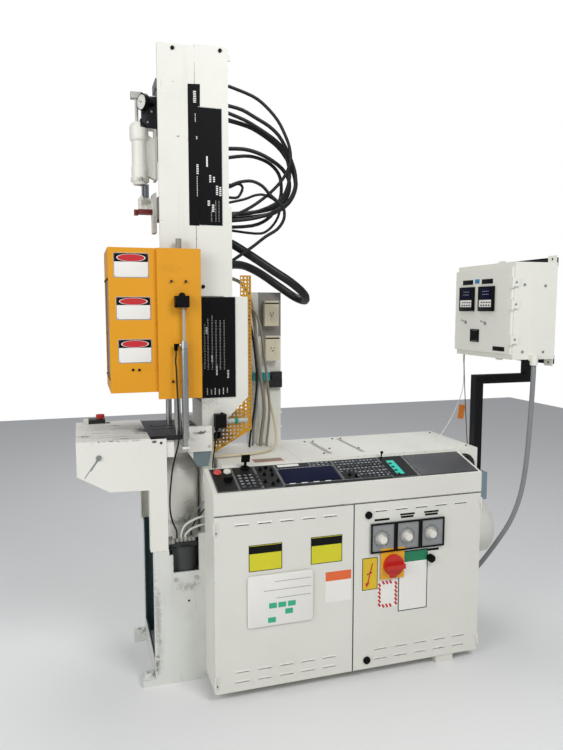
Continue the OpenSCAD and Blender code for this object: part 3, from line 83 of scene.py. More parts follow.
view = {"place": (-0.390, -2.875, 1.583), "yaw": 17.3, "pitch": 5.8, "lens": 31.2, "sensor": 36}
lights = {
    "key": {"place": (1.6, -3.4, 4.2), "aim": (0.3, 0, 1.2), "size": 1.6, "power": 88},
    "fill": {"place": (-3.2, -2.6, 2.6), "aim": (0.2, 0, 1.1), "size": 2.4, "power": 78},
    "top": {"place": (0.4, 1.2, 4.6), "aim": (0.4, 0, 1.0), "size": 2.2, "power": 50},
}
# colour and strength
studio = {"ambient": ((0.92, 0.95, 1.0), 0.38), "backdrop": ((1, 1, 1), 1.0)}


def newObject(name, data):
    thing = bpy.data.objects.new(name, data)
    scene.collection.objects.link(thing)
    return thing


# A camera or a lamp at spot that looks along ahead.
def aimed(name, data, spot, ahead):
    thing = newObject(name, data)
    thing.location = spot
    thing.rotation_euler = ahead.to_track_quat("-Z", "Y").to_euler()
    return thing


cameraData = bpy.data.cameras.new("camera")
cameraData.sensor_width = view["sensor"]
cameraData.lens = view["lens"]
yaw, pitch = radians(view["yaw"]), radians(view["pitch"])
ahead = Vector((sin(yaw) * cos(pitch), cos(yaw) * cos(pitch), -sin(pitch)))
scene.camera = aimed("camera", cameraData, view["place"], ahead)
for name, lamp in lights.items():
    lampData = bpy.data.lights.new(name, "AREA")
    lampData.size = lamp["size"]
    lampData.energy = lamp["power"]
    aimed(name, lampData, lamp["place"], Vector(lamp["aim"]) - Vector(lamp["place"]))

# the camera sees the backdrop, also through glass; all other rays see the soft ambient
world = bpy.data.worlds.new("studio")
scene.world = world
world.use_nodes = True
tree = world.node_tree
tree.nodes.clear()
path = newNode(tree, "LightPath", {})
seen = mathNode(tree, "MAXIMUM", path["Is Camera Ray"], path["Is Transmission Ray"])
ambient, backdrop = [newNode(tree, "Background", {"Color": (*colour, 1), "Strength": strength})[0]
    for colour, strength in (studio["ambient"], studio["backdrop"])]
newNode(tree, "OutputWorld", {"Surface": newNode(tree, "MixShader", {"Fac": seen, 1: ambient, 2: backdrop})[0]})
scene.view_settings.view_transform = "Standard"
print("camera and lights ready")


# Effects that several finishes share, all on Object coordinates

# A group with its inputs' labels and values and its outputs' labels; also gives Object coordinates in it.
def newGroup(name, inputs, outputs):
    group = bpy.data.node_groups.new(name, "ShaderNodeTree")
    for label, v in inputs.items():
        kind = "NodeSocketVector" if isinstance(v, tuple) else "NodeSocketFloat"
        group.interface.new_socket(label, in_out="INPUT", socket_type=kind).default_value = v
    for label in outputs:
        group.interface.new_socket(label, in_out="OUTPUT", socket_type="NodeSocketFloat")
    return group, group.nodes.new("NodeGroupInput").outputs, newNode(group, "TexCoord", {})["Object"]


# The group with its outputs linked.
def putOut(group, **values):
    sockets = group.nodes.new("NodeGroupOutput").inputs
    for label, v in values.items():
        group.links.new(v, sockets[label])
    return group


# Cloudy dirt, downward runs and small specks.
def makeGrime(values):
    group, into, coords = newGroup("grime", {"Scale": 6.0, "Runs": 0.3, "Specks": 0.2}, ("Dirt", "Tone", "Grain"))
    cloudy = rampNode(group, noiseNode(group, coords, into["Scale"], 4), *values["cloudEdge"])
    run = noiseNode(group, vectorNode(group, "MULTIPLY", coords, values["runStretch"]), 1.0)
    runs = mathNode(group, "MULTIPLY", rampNode(group, run, *values["runEdge"]), into["Runs"])
    speck = rampNode(group, noiseNode(group, coords, values["speckScale"], 2), *values["speckEdge"])
    marks = mathNode(group, "MAXIMUM", runs, mathNode(group, "MULTIPLY", speck, into["Specks"]))
    clouds = mathNode(group, "MULTIPLY", cloudy, values["cloudShare"])
    tone, grain = [noiseNode(group, coords, values[name], 2) for name in ("toneScale", "grainScale")]
    return putOut(group, Dirt=mathNode(group, "ADD", clouds, marks, True), Tone=tone, Grain=grain)


# Chipped edges: where a rounded normal leaves the flat one, broken up by noise.
def makeEdgeWear(values):
    group, into, coords = newGroup("edgeWear", {"Width": 0.003, "Amount": 0.5, "Scale": 60.0}, ("Chips",))
    rounded = newNode(group, "Bevel", {"Radius": into["Width"]}, samples=values["samples"])[0]
    flat = newNode(group, "NewGeometry", {})["Normal"]
    bend = mathNode(group, "SUBTRACT", 1.0, vectorNode(group, "DOT_PRODUCT", rounded, flat))
    edge = rampNode(group, bend, *values["bendEdge"])
    lower = mathNode(group, "MULTIPLY", into["Amount"], values["amountShare"])
    level = mathNode(group, "SUBTRACT", values["level"], lower)
    broken = mathNode(group, "GREATER_THAN", noiseNode(group, coords, into["Scale"], 4, 0.7), level)
    return putOut(group, Chips=mathNode(group, "MULTIPLY", edge, broken))


# 1 inside an upright box, 0 outside.
def makeRegion():
    group, into, coords = newGroup("region", {"Centre": (0, 0, 0), "Half": (1, 1, 1)}, ("Inside",))
    away = vectorNode(group, "ABSOLUTE", vectorNode(group, "SUBTRACT", coords, into["Centre"]))
    x, y, z = newNode(group, "SeparateXYZ", {0: vectorNode(group, "SUBTRACT", away, into["Half"])})
    beyond = mathNode(group, "MAXIMUM", mathNode(group, "MAXIMUM", x, y), z)
    return putOut(group, Inside=mathNode(group, "LESS_THAN", beyond, 0.0))


# Mask for stains and painted shade: 1 near the centre of an ellipsoid, broken up by noise.
def makeStainAndShade(values):
    group, into, coords = newGroup("stainAndShade", {"Centre": (0, 0, 0), "Half": (1, 1, 1), "Scale": 60.0}, ("Mask",))
    away = vectorNode(group, "DIVIDE", vectorNode(group, "SUBTRACT", coords, into["Centre"]), into["Half"])
    near = mathNode(group, "SUBTRACT", 1.0, vectorNode(group, "LENGTH", away))
    broken = mathNode(group, "SUBTRACT", noiseNode(group, coords, into["Scale"], 5, 0.7), 0.5)
    cloud = mathNode(group, "MULTIPLY", broken, values["breakUp"])
    return putOut(group, Mask=rampNode(group, mathNode(group, "ADD", near, cloud), *values["edge"]))


grime = makeGrime({"cloudEdge": (0.5, 0.78), "cloudShare": 0.4, "runStretch": (34, 34, 2.2), "runEdge": (0.58, 0.78),
    "speckScale": 150, "speckEdge": (0.68, 0.74), "toneScale": 2.3, "grainScale": 420})
stainAndShade = makeStainAndShade({"breakUp": 2.6, "edge": (0.25, 0.75)})
edgeWear = makeEdgeWear({"samples": 4, "bendEdge": (0.015, 0.07), "level": 0.86, "amountShare": 0.5})
region = makeRegion()


# The outputs of a group placed in a material.
def place(tree, group, **values):
    return newNode(tree, "Group", values, node_tree=group)


# An sRGB hex code as linear colour.
def linear(code):
    parts = [int(code[i:i + 2], 16) / 255 for i in (1, 3, 5)]
    return tuple(c / 12.92 if c <= 0.04045 else ((c + 0.055) / 1.055) ** 2.4 for c in parts)


# What a look has where it says nothing else.
plainLook = {
    "scale": 5.0, "runs": 0.25, "specks": 0.15, "shade": (0.94, 1.05), "dirt": 0.1, "dirtColour": "#6b6456",
    "chips": 0, "chipWidth": 0.003, "chipScale": 70.0, "chipColour": "#3b3733", "stainAndShadeScale": 60.0,
    "rough": 0.4, "roughSpread": 0.12, "metal": 0.0, "specular": 0.5, "brushed": None, "bump": 0.05,
}


def look(colour, **values):
    return {**plainLook, "colour": colour, **values}


# One finish from its look: colour, dirt, runs, specks, chips, roughness, metal, grain and bump.
# areas are upright boxes in millimetres that have another colour.
# stains and painted shades are ellipsoids in millimetres: centre, half size, colour, strength.
def finish(name, look, areas=(), stainsAndShades=()):
    material = bpy.data.materials.new(name)
    material.use_nodes = True
    tree = material.node_tree
    dirty = place(tree, grime, Scale=look["scale"], Runs=look["runs"], Specks=look["specks"])
    dark, bright = [tuple(min(c * share, 1) for c in linear(look["colour"])) for share in look["shade"]]
    colour = colourMix(tree, dirty["Tone"], dark, bright)
    for lo, hi, code in areas:
        centre, half = [[(b + sign * a) / 2 * mm for a, b in zip(lo, hi)] for sign in (1, -1)]
        inside = place(tree, region, Centre=centre, Half=half)["Inside"]
        colour = colourMix(tree, inside, colour, linear(code))
    for centre, half, code, strength in stainsAndShades:
        centre, half = [[v * mm for v in triple] for triple in (centre, half)]
        mask = place(tree, stainAndShade, Centre=centre, Half=half, Scale=look["stainAndShadeScale"])["Mask"]
        colour = colourMix(tree, mathNode(tree, "MULTIPLY", mask, strength), colour, linear(code))
    amount = mathNode(tree, "MULTIPLY", dirty["Dirt"], look["dirt"], True)
    colour = colourMix(tree, amount, colour, linear(look["dirtColour"]))
    if look["chips"]:
        worn = place(tree, edgeWear, Width=look["chipWidth"], Amount=look["chips"], Scale=look["chipScale"])
        colour = colourMix(tree, worn["Chips"], colour, linear(look["chipColour"]))
    low, high = [look["rough"] + sign * look["roughSpread"] / 2 for sign in (-1, 1)]
    height = dirty["Grain"]
    if look["brushed"]:
        coords = newNode(tree, "TexCoord", {})["Object"]
        height = noiseNode(tree, vectorNode(tree, "MULTIPLY", coords, look["brushed"]), 1.0)
    shader = tree.nodes["Principled BSDF"].inputs
    shader["Metallic"].default_value = look["metal"]
    shader["Specular IOR Level"].default_value = look["specular"]
    tree.links.new(colour, shader["Base Color"])
    tree.links.new(rampNode(tree, dirty["Tone"], 0.0, 1.0, low, high), shader["Roughness"])
    bump = newNode(tree, "Bump", {"Strength": look["bump"], "Distance": 1 * mm, "Height": height})
    tree.links.new(bump["Normal"], shader["Normal"])
    return material


looks = {
    "whitePaint": look("#e6e5dc", dirt=0.2, runs=0.35, specks=0.5, chips=0.45, rough=0.42),
    "cabinetPaint": look("#e0dfd6", dirt=0.12, runs=0.2, specks=0.7, chips=0.5, scale=3.0),
    "boxPaint": look("#e9e8de", dirt=0.08, runs=0.1, specks=0.3, chips=0.3, rough=0.38),
    "pedestalPaint": look("#d9dad4", dirt=0.35, runs=0.6, specks=0.7, chips=0.6, rough=0.5),
    "cylinderPaint": look("#e8e7df", dirt=0.25, runs=0.6, specks=0.4, chips=0.3, rough=0.34),
    "gateYellow": look("#e09a12", dirt=0.16, runs=0.3, specks=0.4, chips=0.5, rough=0.42, chipColour="#4c3a1c",
        dirtColour="#6e4c10"),
    "guardYellow": look("#dda01c", dirt=0.4, runs=0.3, specks=0.5, chips=0.4, rough=0.5, dirtColour="#5b4312"),
    "darkSteel": look("#413d42", dirt=0.5, rough=0.42, metal=0.75, specks=0.8, dirtColour="#1b181c", chips=0.5,
        chipColour="#8e8c8e"),
    "brightSteel": look("#c4c4c2", dirt=0.12, rough=0.22, metal=1.0, bump=0.08, brushed=(30, 30, 900)),
    "castGrey": look("#86898a", dirt=0.5, rough=0.6, metal=0.2, bump=0.25),
    "blackPlastic": look("#0b0b0d", rough=0.55, dirtColour="#2c2a28", specular=0.12),
    "gloss": look("#0b0d12", dirt=0.05, rough=0.25, specular=0.2),
    "beige": look("#d9d0b6", dirt=0.2, rough=0.55),
    "redPlastic": look("#c5231a", rough=0.32),
    "redSoft": look("#d8564c"),
    "ivoryPlastic": look("#e6e4d9"),
    "timerGrey": look("#8e9090", dirt=0.2, rough=0.45),
    "hoseRubber": look("#141516", dirt=0.2, specular=0.35, rough=0.42, dirtColour="#4b4a45", bump=0.2),
    "tanHose": look("#8f8778", dirt=0.4, rough=0.6),
    "creamHose": look("#cbbf9f", dirt=0.3, rough=0.6),
    "greyHose": look("#85888a", dirt=0.3, rough=0.5),
    "whiteHose": look("#dcdcd4", dirt=0.25, rough=0.5),
    "standBlack": look("#0e0e10", rough=0.45, specular=0.2, chips=0.35, chipColour="#55524e"),
    "maroon": look("#6d1512", dirt=0.4, rough=0.5, chips=0.5),
    "orangeTag": look("#ee8a2a", rough=0.7),
    "plateWhite": look("#eceae4", dirt=0.12, rough=0.35, specks=0.4),
    "plateYellow": look("#d6cf1e", dirt=0.15, dirtColour="#5e5a10"),
    "plateGold": look("#dcb91c", rough=0.35),
    "plateBlack": look("#0c0c0c", dirt=0.05, rough=0.45, specular=0.15),
    "plateRed": look("#c1272d"),
    "plateOrange": look("#e5672f"),
    "plateGreen": look("#0f7d53"),
    "greenMark": look("#2fae86", rough=0.5),
    "tealScreen": look("#2fd0b8", dirt=0.05, rough=0.3),
    "navyScreen": look("#0d1230", dirt=0.05, rough=0.5, specular=0.08),
    "filmLine": look("#b9bec2"),
    "filmKey": look("#55595d"),
    "brushedPanel": look("#58595c", dirt=0.2, rough=0.42, metal=0.35, bump=0.3, brushed=(2500, 20, 20)),
    "blueLabel": look("#2f7fb4"),
    "smoked": look("#191a1e", dirt=0.05, rough=0.12),
    "film": look("#191b1c", dirt=0.15, rough=0.42, specks=0.4, specular=0.3),
}
finishes = {name: finish(name, look) for name, look in looks.items()}

# Finishes with areas, stains and painted shade: base look, areas, stains and painted shades.
variants = {
    "tablePaint": ("whitePaint", [((-360, 165, 1060.6), (-255, 240, 1090), "#17181a")],
        [((-135, -40, 1060), (64, 110, 12), "#2c2430", 1.0), ((-330, -60, 1060), (90, 7, 8), "#3a302c", 1.0),
        ((-280, -160, 1060), (110, 6, 8), "#3a302c", 1.0), ((-230, -205, 1060), (80, 8, 8), "#3a302c", 1.0),
        ((-380, -120, 1060), (30, 34, 8), "#5a4a40", 0.8), ((-240, 20, 1060), (90, 6, 8), "#3a302c", 0.9),
        ((-300, -238, 1058), (120, 4, 4), "#3a2c24", 1.0), ((-60, 60, 1060), (60, 90, 12), "#3b3440", 0.7),
        ((-250, 110, 1060), (60, 14, 8), "#4a3c34", 0.8), ((-330, 20, 1060), (50, 6, 8), "#3a302c", 0.8),
        ((-300, -120, 1060), (70, 5, 8), "#3a302c", 0.8), ((-380, -200, 1056), (26, 40, 5), "#3a302c", 0.9),
        ((-250, -238, 1056), (160, 4, 6), "#4a4038", 0.8), ((-110, -240, 1046), (14, 4, 7), "#2b2622", 0.9)]),
    # on the gate, the strip at x -82 is a painted shadow of the proud panel on the left panel and the patch at x 20 a
    # painted shadow of the rod bracket; the patch at z 1745 is a smudge
    "gatePaint": ("gateYellow", [((-10, -180, 1829.6), (32, -140, 1890), "#8d8c86")],
        [((-30, -196, 1745), (60, 5, 30), "#8a5f14", 0.1), ((-82, -180, 1500), (10, 12, 330), "#8a5a10", 0.25),
        ((20, -197, 1560), (40, 5, 60), "#9a6a14", 0.35)]),
    # on the bed block, the grey-blue area below z 977.5 is painted shade on a face in shadow, and the dark line at z
    # 1060 a painted hose shadow
    "bedPaint": ("whitePaint", [((60, -200, 900), (150, -120, 977.5), "#6f7f82"),
        ((-60, -60, 1040), (60, 60, 1062), "#46434a")], [((90, -172, 1060), (60, 8, 10), "#4a3d34", 0.9),
        ((130, -172, 1000), (12, 4, 14), "#8a5b3a", 0.6)]),
    # on the C-frame, the grey band and its darker lower edge below the black scale panel are painted shade
    "framePaint": ("whitePaint", [], [((80, -134, 1160), (60, 10, 14), "#5a5048", 0.5),
        ((120, -130, 1180), (90, 8, 40), "#a29c90", 0.4)]),
    "towerPaint": ("whitePaint", [], [((20, -134, 2285), (30, 6, 7), "#45423e", 0.9),
        ((-40, -134, 1945), (60, 6, 3), "#8f8b82", 0.6), ((44, -134, 2300), (12, 5, 10), "#5d5c52", 0.9),
        ((-44, -134, 2480), (6, 5, 60), "#3a3733", 0.6)]),
    "receiverPaint": ("whitePaint", [((-120, -42, 2335.4), (-52.9, 42, 2484), "#16171a"),
        ((-158, -17, 2456.5), (-113.2, 17, 2483), "#b4b2aa"), ((-124, -18, 2050.4), (-80, 18, 2106.5), "#777c80"),
        ((-140, -9, 2364.4), (-122, 9, 2457), "#c9c8c0")], [((-123, -30, 2125), (30, 20, 12), "#3b372f", 0.7),
        ((-100, -26, 2030), (40, 10, 34), "#4d463a", 0.6), ((-67, -30, 1960), (14, 10, 60), "#6a5a48", 0.5)]),
    "gateRodBlack": ("blackPlastic", [((-20, -260, 1300), (60, -200, 1588.8), "#a9a9a6")], []),
    "airSteel": ("brightSteel", [((-26, -228, 1412), (4.6, -206, 1444), "#141416"),
        ((0, -240, 1425), (42, -190, 1456), "#dcdcd6")], []),
    "instrumentGrey": ("timerGrey", [((810, -450, 430), (923, -430, 566), "#e6a91c")],
        [((866, -446, 560), (50, 6, 8), "#b06a12", 0.6)]),
    "postPaint": ("whitePaint", [((434, 147, 1452), (547.5, 149.9, 1663), "#8f8d87"),
        ((481, 110, 1203), (548.5, 149.9, 1282), "#151517"), ((401, 110, 1239), (481.9, 149.9, 1279), "#148f92")],
        [((470, 148, 1560), (70, 6, 80), "#5f5b55", 0.35)]),
    "switchBlack": ("blackPlastic", [((206.4, -180, 1080), (303, -140, 1120), "#b7b8b5"),
        ((246, -180, 1080), (258, -140, 1120), "#1f8a63"), ((155, -102, 1046.2), (214, -58, 1078), "#8b9092")], []),
    "motorPaint": ("whitePaint", [((1410, -262, 674), (1459, -207, 807), "#8095a0")],
        [((1410, -200, 620), (12, 60, 60), "#6c675c", 0.4)]),
    "outletBeige": ("beige", [((455, 107, 1606), (527, 109.6, 1613), "#1c1a18"),
        ((459, 107, 1440), (531, 109.6, 1447), "#1c1a18")], [((491, 109, 1545), (20, 4, 30), "#7a705c", 0.4)]),
    "pedestalTwoTone": ("pedestalPaint", [((-119, -233, 12.5), (166, 233, 646), "#1f3a40")],
        [((-110, -241, 300), (24, 8, 260), "#8d8a80", 0.5), ((-115, -241, 90), (16, 10, 60), "#3e3a34", 0.7),
        ((20, -241, 420), (60, 6, 30), "#7f8078", 0.5)]),
    "valveDark": ("castGrey", [((-60, -260, 476), (80, -100, 586), "#3d4140"),
        ((-60, -260, 586), (80, -150, 604.2), "#2a2c2c"), ((-70, -230, 604.3), (70, -170, 625), "#b3b2aa")], []),
    # on the clamp cylinder, a grey patch on the right front and a darker band near the bottom
    "cylinderDarkened": ("cylinderPaint", [], [((60, -90, 700), (50, 60, 90), "#87857c", 0.5),
        ((0, -110, 660), (120, 60, 24), "#5c5a54", 0.5)]),
    # on the perforated guard, the brown patches are painted shadow on its lower part, over the look's real grime
    "guardDirtAndShadow": ("guardYellow", [], [((195, -12, 1020), (110, 40, 90), "#4f3512", 1.0),
        ((270, -12, 1080), (70, 40, 80), "#7a5218", 0.7)]),
    "scaleBlack": ("blackPlastic", [((137.5, -134, 2172), (144.5, -126, 2215), "#e8e8e2")], []),
}
for name, (base, areas, stainsAndShades) in variants.items():
    finishes[name] = finish(name, looks[base], areas, stainsAndShades)
print("finishes ready", len(finishes))


# CAD nodes keep their shape and take a finish

wearers = {
    "whitePaint": "base_housing housing_panels", "cabinetPaint": "cabinet_shell left_door right_door",
    "boxPaint": "control_box_shell box_door", "pedestalPaint": "tower_frame", "tablePaint": "operator_table",
    "gatePaint": "safety_gate", "bedPaint": "bed_block", "framePaint": "c_frame", "towerPaint": "tower_covers",
    "receiverPaint": "material_receiver", "gateRodBlack": "gate_rod", "airSteel": "air_cylinder",
    "instrumentGrey": "door_instruments", "postPaint": "cable_post", "switchBlack": "limit_switches",
    "motorPaint": "pump_motor", "outletBeige": "outlet_boxes", "pedestalTwoTone": "pedestal",
    "valveDark": "clamp_valve", "cylinderDarkened": "clamp_cylinder", "scaleBlack": "scale_panels",
    "guardDirtAndShadow": "perforated_guard", "darkSteel": "lower_platen upper_platen fan_grille",
    "brightSteel": "tie_rods clamp_ram injection_screw left_toggle right_toggle", "castGrey": "injection_unit",
    "redPlastic": "stop_button disconnect_handle", "redSoft": "red_button",
    "blackPlastic": "selector key_knob lever upper_latch lower_latch small_knob controllers rocker fan_rotor",
    "ivoryPlastic": "white_button timer_knob_1 timer_knob_2 timer_knob_3", "maroon": "slide_gate",
    "standBlack": "control_stand", "film": "console_panel",
}
for paint, nodes in wearers.items():
    for node in nodes.split():
        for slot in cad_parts[node].material_slots:
            slot.material = finishes[paint]
print("frame finishes assigned")


# Building blocks; all measures are in millimetres

creaseAngle = 40
toCamera = (0, -1, 0)


# A finished piece from bm, moved by matrix, that rides on a body; with smooth its round sides are shaded smooth.
def newPiece(name, bm, paint, body="frame", smooth=False, matrix=None):
    if matrix:
        bmesh.ops.transform(bm, matrix=matrix, verts=bm.verts)
    bmesh.ops.recalc_face_normals(bm, faces=bm.faces)
    data = bpy.data.meshes.new(name)
    bm.to_mesh(data)
    bm.free()
    data.materials.append(finishes[paint])
    piece = newObject(name, data)
    if smooth:
        data.polygons.foreach_set("use_smooth", [True] * len(data.polygons))
        data.set_sharp_from_angle(angle=radians(creaseAngle))
    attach(piece, body)


def at(spot):
    return Matrix.Translation(Vector(spot) * mm)


def turned(degrees, axis):
    return Matrix.Rotation(radians(degrees), 4, axis)


def soften(bm, edges, width, segments=2):
    style = {"segments": segments, "profile": 0.5, "affect": "EDGES", "material": -1}
    return bmesh.ops.bevel(bm, geom=edges, offset=width * mm, **style)["verts"]


# A block of this size about the origin, its edges bevelled, moved by a matrix.
def addTurned(bm, size, matrix, bevel=0.0):
    made = bmesh.ops.create_cube(bm, size=1.0)["verts"]
    bmesh.ops.scale(bm, vec=[s * mm for s in size], verts=made)
    if bevel:
        made = soften(bm, list({e for v in made for e in v.link_edges}), bevel)
    bmesh.ops.transform(bm, matrix=matrix, verts=made)


# A block between two corners.
def addBlock(bm, lo, hi, bevel=0.0):
    centre = [(a + b) / 2 for a, b in zip(lo, hi)]
    addTurned(bm, [b - a for a, b in zip(lo, hi)], at(centre), bevel)


# A bar from start along axis; r2 is its radius at the far end where it has another.
def addRod(bm, start, axis, r, length, sides=32, r2=None):
    axis = Vector(axis).normalized()
    turn = axis.to_track_quat("Z", "Y").to_matrix().to_4x4()
    matrix = Matrix.Translation(Vector(start) * mm + axis * length * mm / 2) @ turn
    bmesh.ops.create_cone(bm, cap_ends=True, segments=sides, radius1=r * mm, radius2=(r2 or r) * mm, depth=length * mm,
        matrix=matrix)


# A piece of blocks, each given by its two corners.
def blockPiece(name, boxes, paint, body="frame", bevel=0.0, smooth=False):
    bm = bmesh.new()
    for lo, hi in boxes:
        addBlock(bm, lo, hi, bevel)
    newPiece(name, bm, paint, body, smooth)


# The same from outlines in x and z, between a near and a far y.
def flatPiece(name, outlines, near, far, paint, body="frame", bevel=0.0, smooth=False):
    blockPiece(name, [upright(c, near, far) for c in outlines], paint, body, bevel, smooth)


# A piece of bars that differ only in where they start.
def rodPiece(name, starts, axis, r, length, sides, r2, paint, body):
    bm = bmesh.new()
    for start in starts:
        addRod(bm, start, axis, r, length, sides, r2)
    newPiece(name, bm, paint, body, True)


# A piece of socket screws: round heads with a sunk hexagon.
def screwPiece(name, spots, r, tall, paint, body="frame", axis=toCamera):
    bm = bmesh.new()
    for spot in spots:
        addRod(bm, spot, axis, r, tall, 20, r * 0.94)
        addRod(bm, Vector(spot) + Vector(axis) * (tall - 0.05), axis, r * 0.55, 0.3, 6, r * 0.45)
    newPiece(name, bm, paint, body, True)


# The corners of a block from its outline, two corners in x and z, and its two y values.
def upright(outline, near, far):
    (x0, z0), (x1, z1) = outline
    return (x0, near, z0), (x1, far, z1)


# An outline with its sides moved in.
def inset(outline, by):
    (x0, z0), (x1, z1) = outline
    return (x0 + by, z0 + by), (x1 - by, z1 - by)


# The top part of an outline, share of its height.
def topBand(outline, share):
    (x0, z0), (x1, z1) = outline
    return (x0, z1 - (z1 - z0) * share), (x1, z1)


# Four strips inside an outline; with apart the upright ones end at the level ones.
def border(outline, wide, apart=False):
    (x0, z0), (x1, z1) = outline
    low, high = (z0 + wide, z1 - wide) if apart else (z0, z1)
    level = [((x0, z0), (x1, z0 + wide)), ((x0, z1 - wide), (x1, z1))]
    return level + [((x0, low), (x0 + wide, high)), ((x1 - wide, low), (x1, high))]


# Both corners of a block moved by the same amount.
def moved(corners, by):
    return [tuple(a + b for a, b in zip(corner, by)) for corner in corners]


# Cords: the routes are those of the part's source

# The route through points, smooth in between, with straight first and last steps.
def smoothRoute(points, steps):
    inner = [Vector(p) for p in points[1:-1]]
    route = [Vector(points[0])]
    last = len(inner) - 1
    for i in range(last):
        a, b = inner[max(i - 1, 0)], inner[i]
        c, d = inner[i + 1], inner[min(i + 2, last)]
        for k in range(steps):
            t = k / steps
            bend = (2 * a - 5 * b + 4 * c - d) * t * t + (3 * b - a - 3 * c + d) * t ** 3
            route.append(0.5 * (2 * b + (c - a) * t + bend))
    return route + [inner[last], Vector(points[-1])]


# A hose along its route that stands for a CAD node's.
def makeCord(name, points, diameter, paint, node):
    route = [p * mm for p in smoothRoute(points, cord["steps"])]
    data = bpy.data.curves.new(name, "CURVE")
    data.dimensions = "3D"
    data.bevel_depth = diameter * mm / 2
    data.bevel_resolution = cord["roundness"]
    data.use_fill_caps = True
    line = data.splines.new("POLY")
    line.points.add(len(route) - 1)
    for point, p in zip(line.points, route):
        point.co = (*p, 1)
    line.use_smooth = True
    data.materials.append(finishes[paint])
    piece = newObject(name, data)
    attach(piece, "frame")
    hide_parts(node)


cord = {"steps": 3, "roundness": 4, "limp": ("loopSmall", "thickConduit")}
# where hoses meet the tower, the housing, the deck and the clamp valve
fitX, baseX, deckZ, valveZ = 236.3, 169.7, 927.3, 620.3
# straight lead at a loop's ends
lead = 16

# Loops at the tower: y, diameter, upper and lower end, points in x and z between them.
loops = {
    "loopTop": (-66, 14, 2524, 1978, [(354, 2494), (412, 2458), (466, 2404), (500, 2346), (522, 2290), (526, 2234),
        (504, 2174), (464, 2122), (412, 2074), (342, 2024)]),
    "loopLong": (-42, 16, 2452, 1966, [(314, 2440), (374, 2412), (434, 2382), (480, 2344), (516, 2288), (542, 2232),
        (558, 2176), (554, 2118), (526, 2064), (480, 2026), (410, 1994), (334, 1976)]),
    "loopUpper": (-18, 16, 2430, 1996, [(328, 2406), (388, 2378), (456, 2340), (504, 2300), (528, 2244), (538, 2178),
        (522, 2112), (484, 2062), (416, 2026), (340, 2004)]),
    "loopThick": (8, 20, 2408, 1980, [(350, 2388), (418, 2358), (488, 2312), (530, 2264), (562, 2208), (576, 2150),
        (562, 2096), (526, 2050), (464, 2014), (386, 1996)]),
    "loopMiddle": (34, 18, 2290, 2006, [(340, 2294), (410, 2280), (472, 2252), (520, 2218), (550, 2174), (552, 2122),
        (528, 2076), (472, 2040), (376, 2018)]),
    "loopFar": (58, 16, 2254, 1950, [(346, 2270), (408, 2266), (470, 2242), (510, 2200), (522, 2148), (518, 2094),
        (494, 2040), (454, 1994), (382, 1962)]),
    "loopNear": (-90, 14, 2110, 1790, [(292, 2126), (344, 2132), (390, 2114), (424, 2080), (466, 2046), (488, 2020),
        (488, 1976), (458, 1932), (404, 1898), (344, 1852)]),
    "loopLow": (80, 12, 2058, 1944, [(350, 2082), (406, 2104), (452, 2106), (502, 2082), (522, 2046), (504, 1992),
        (460, 1944), (404, 1930)]),
    "loopSmall": (-66, 12, 2106, 2062, [(288, 2122), (308, 2106), (288, 2066)]),
}
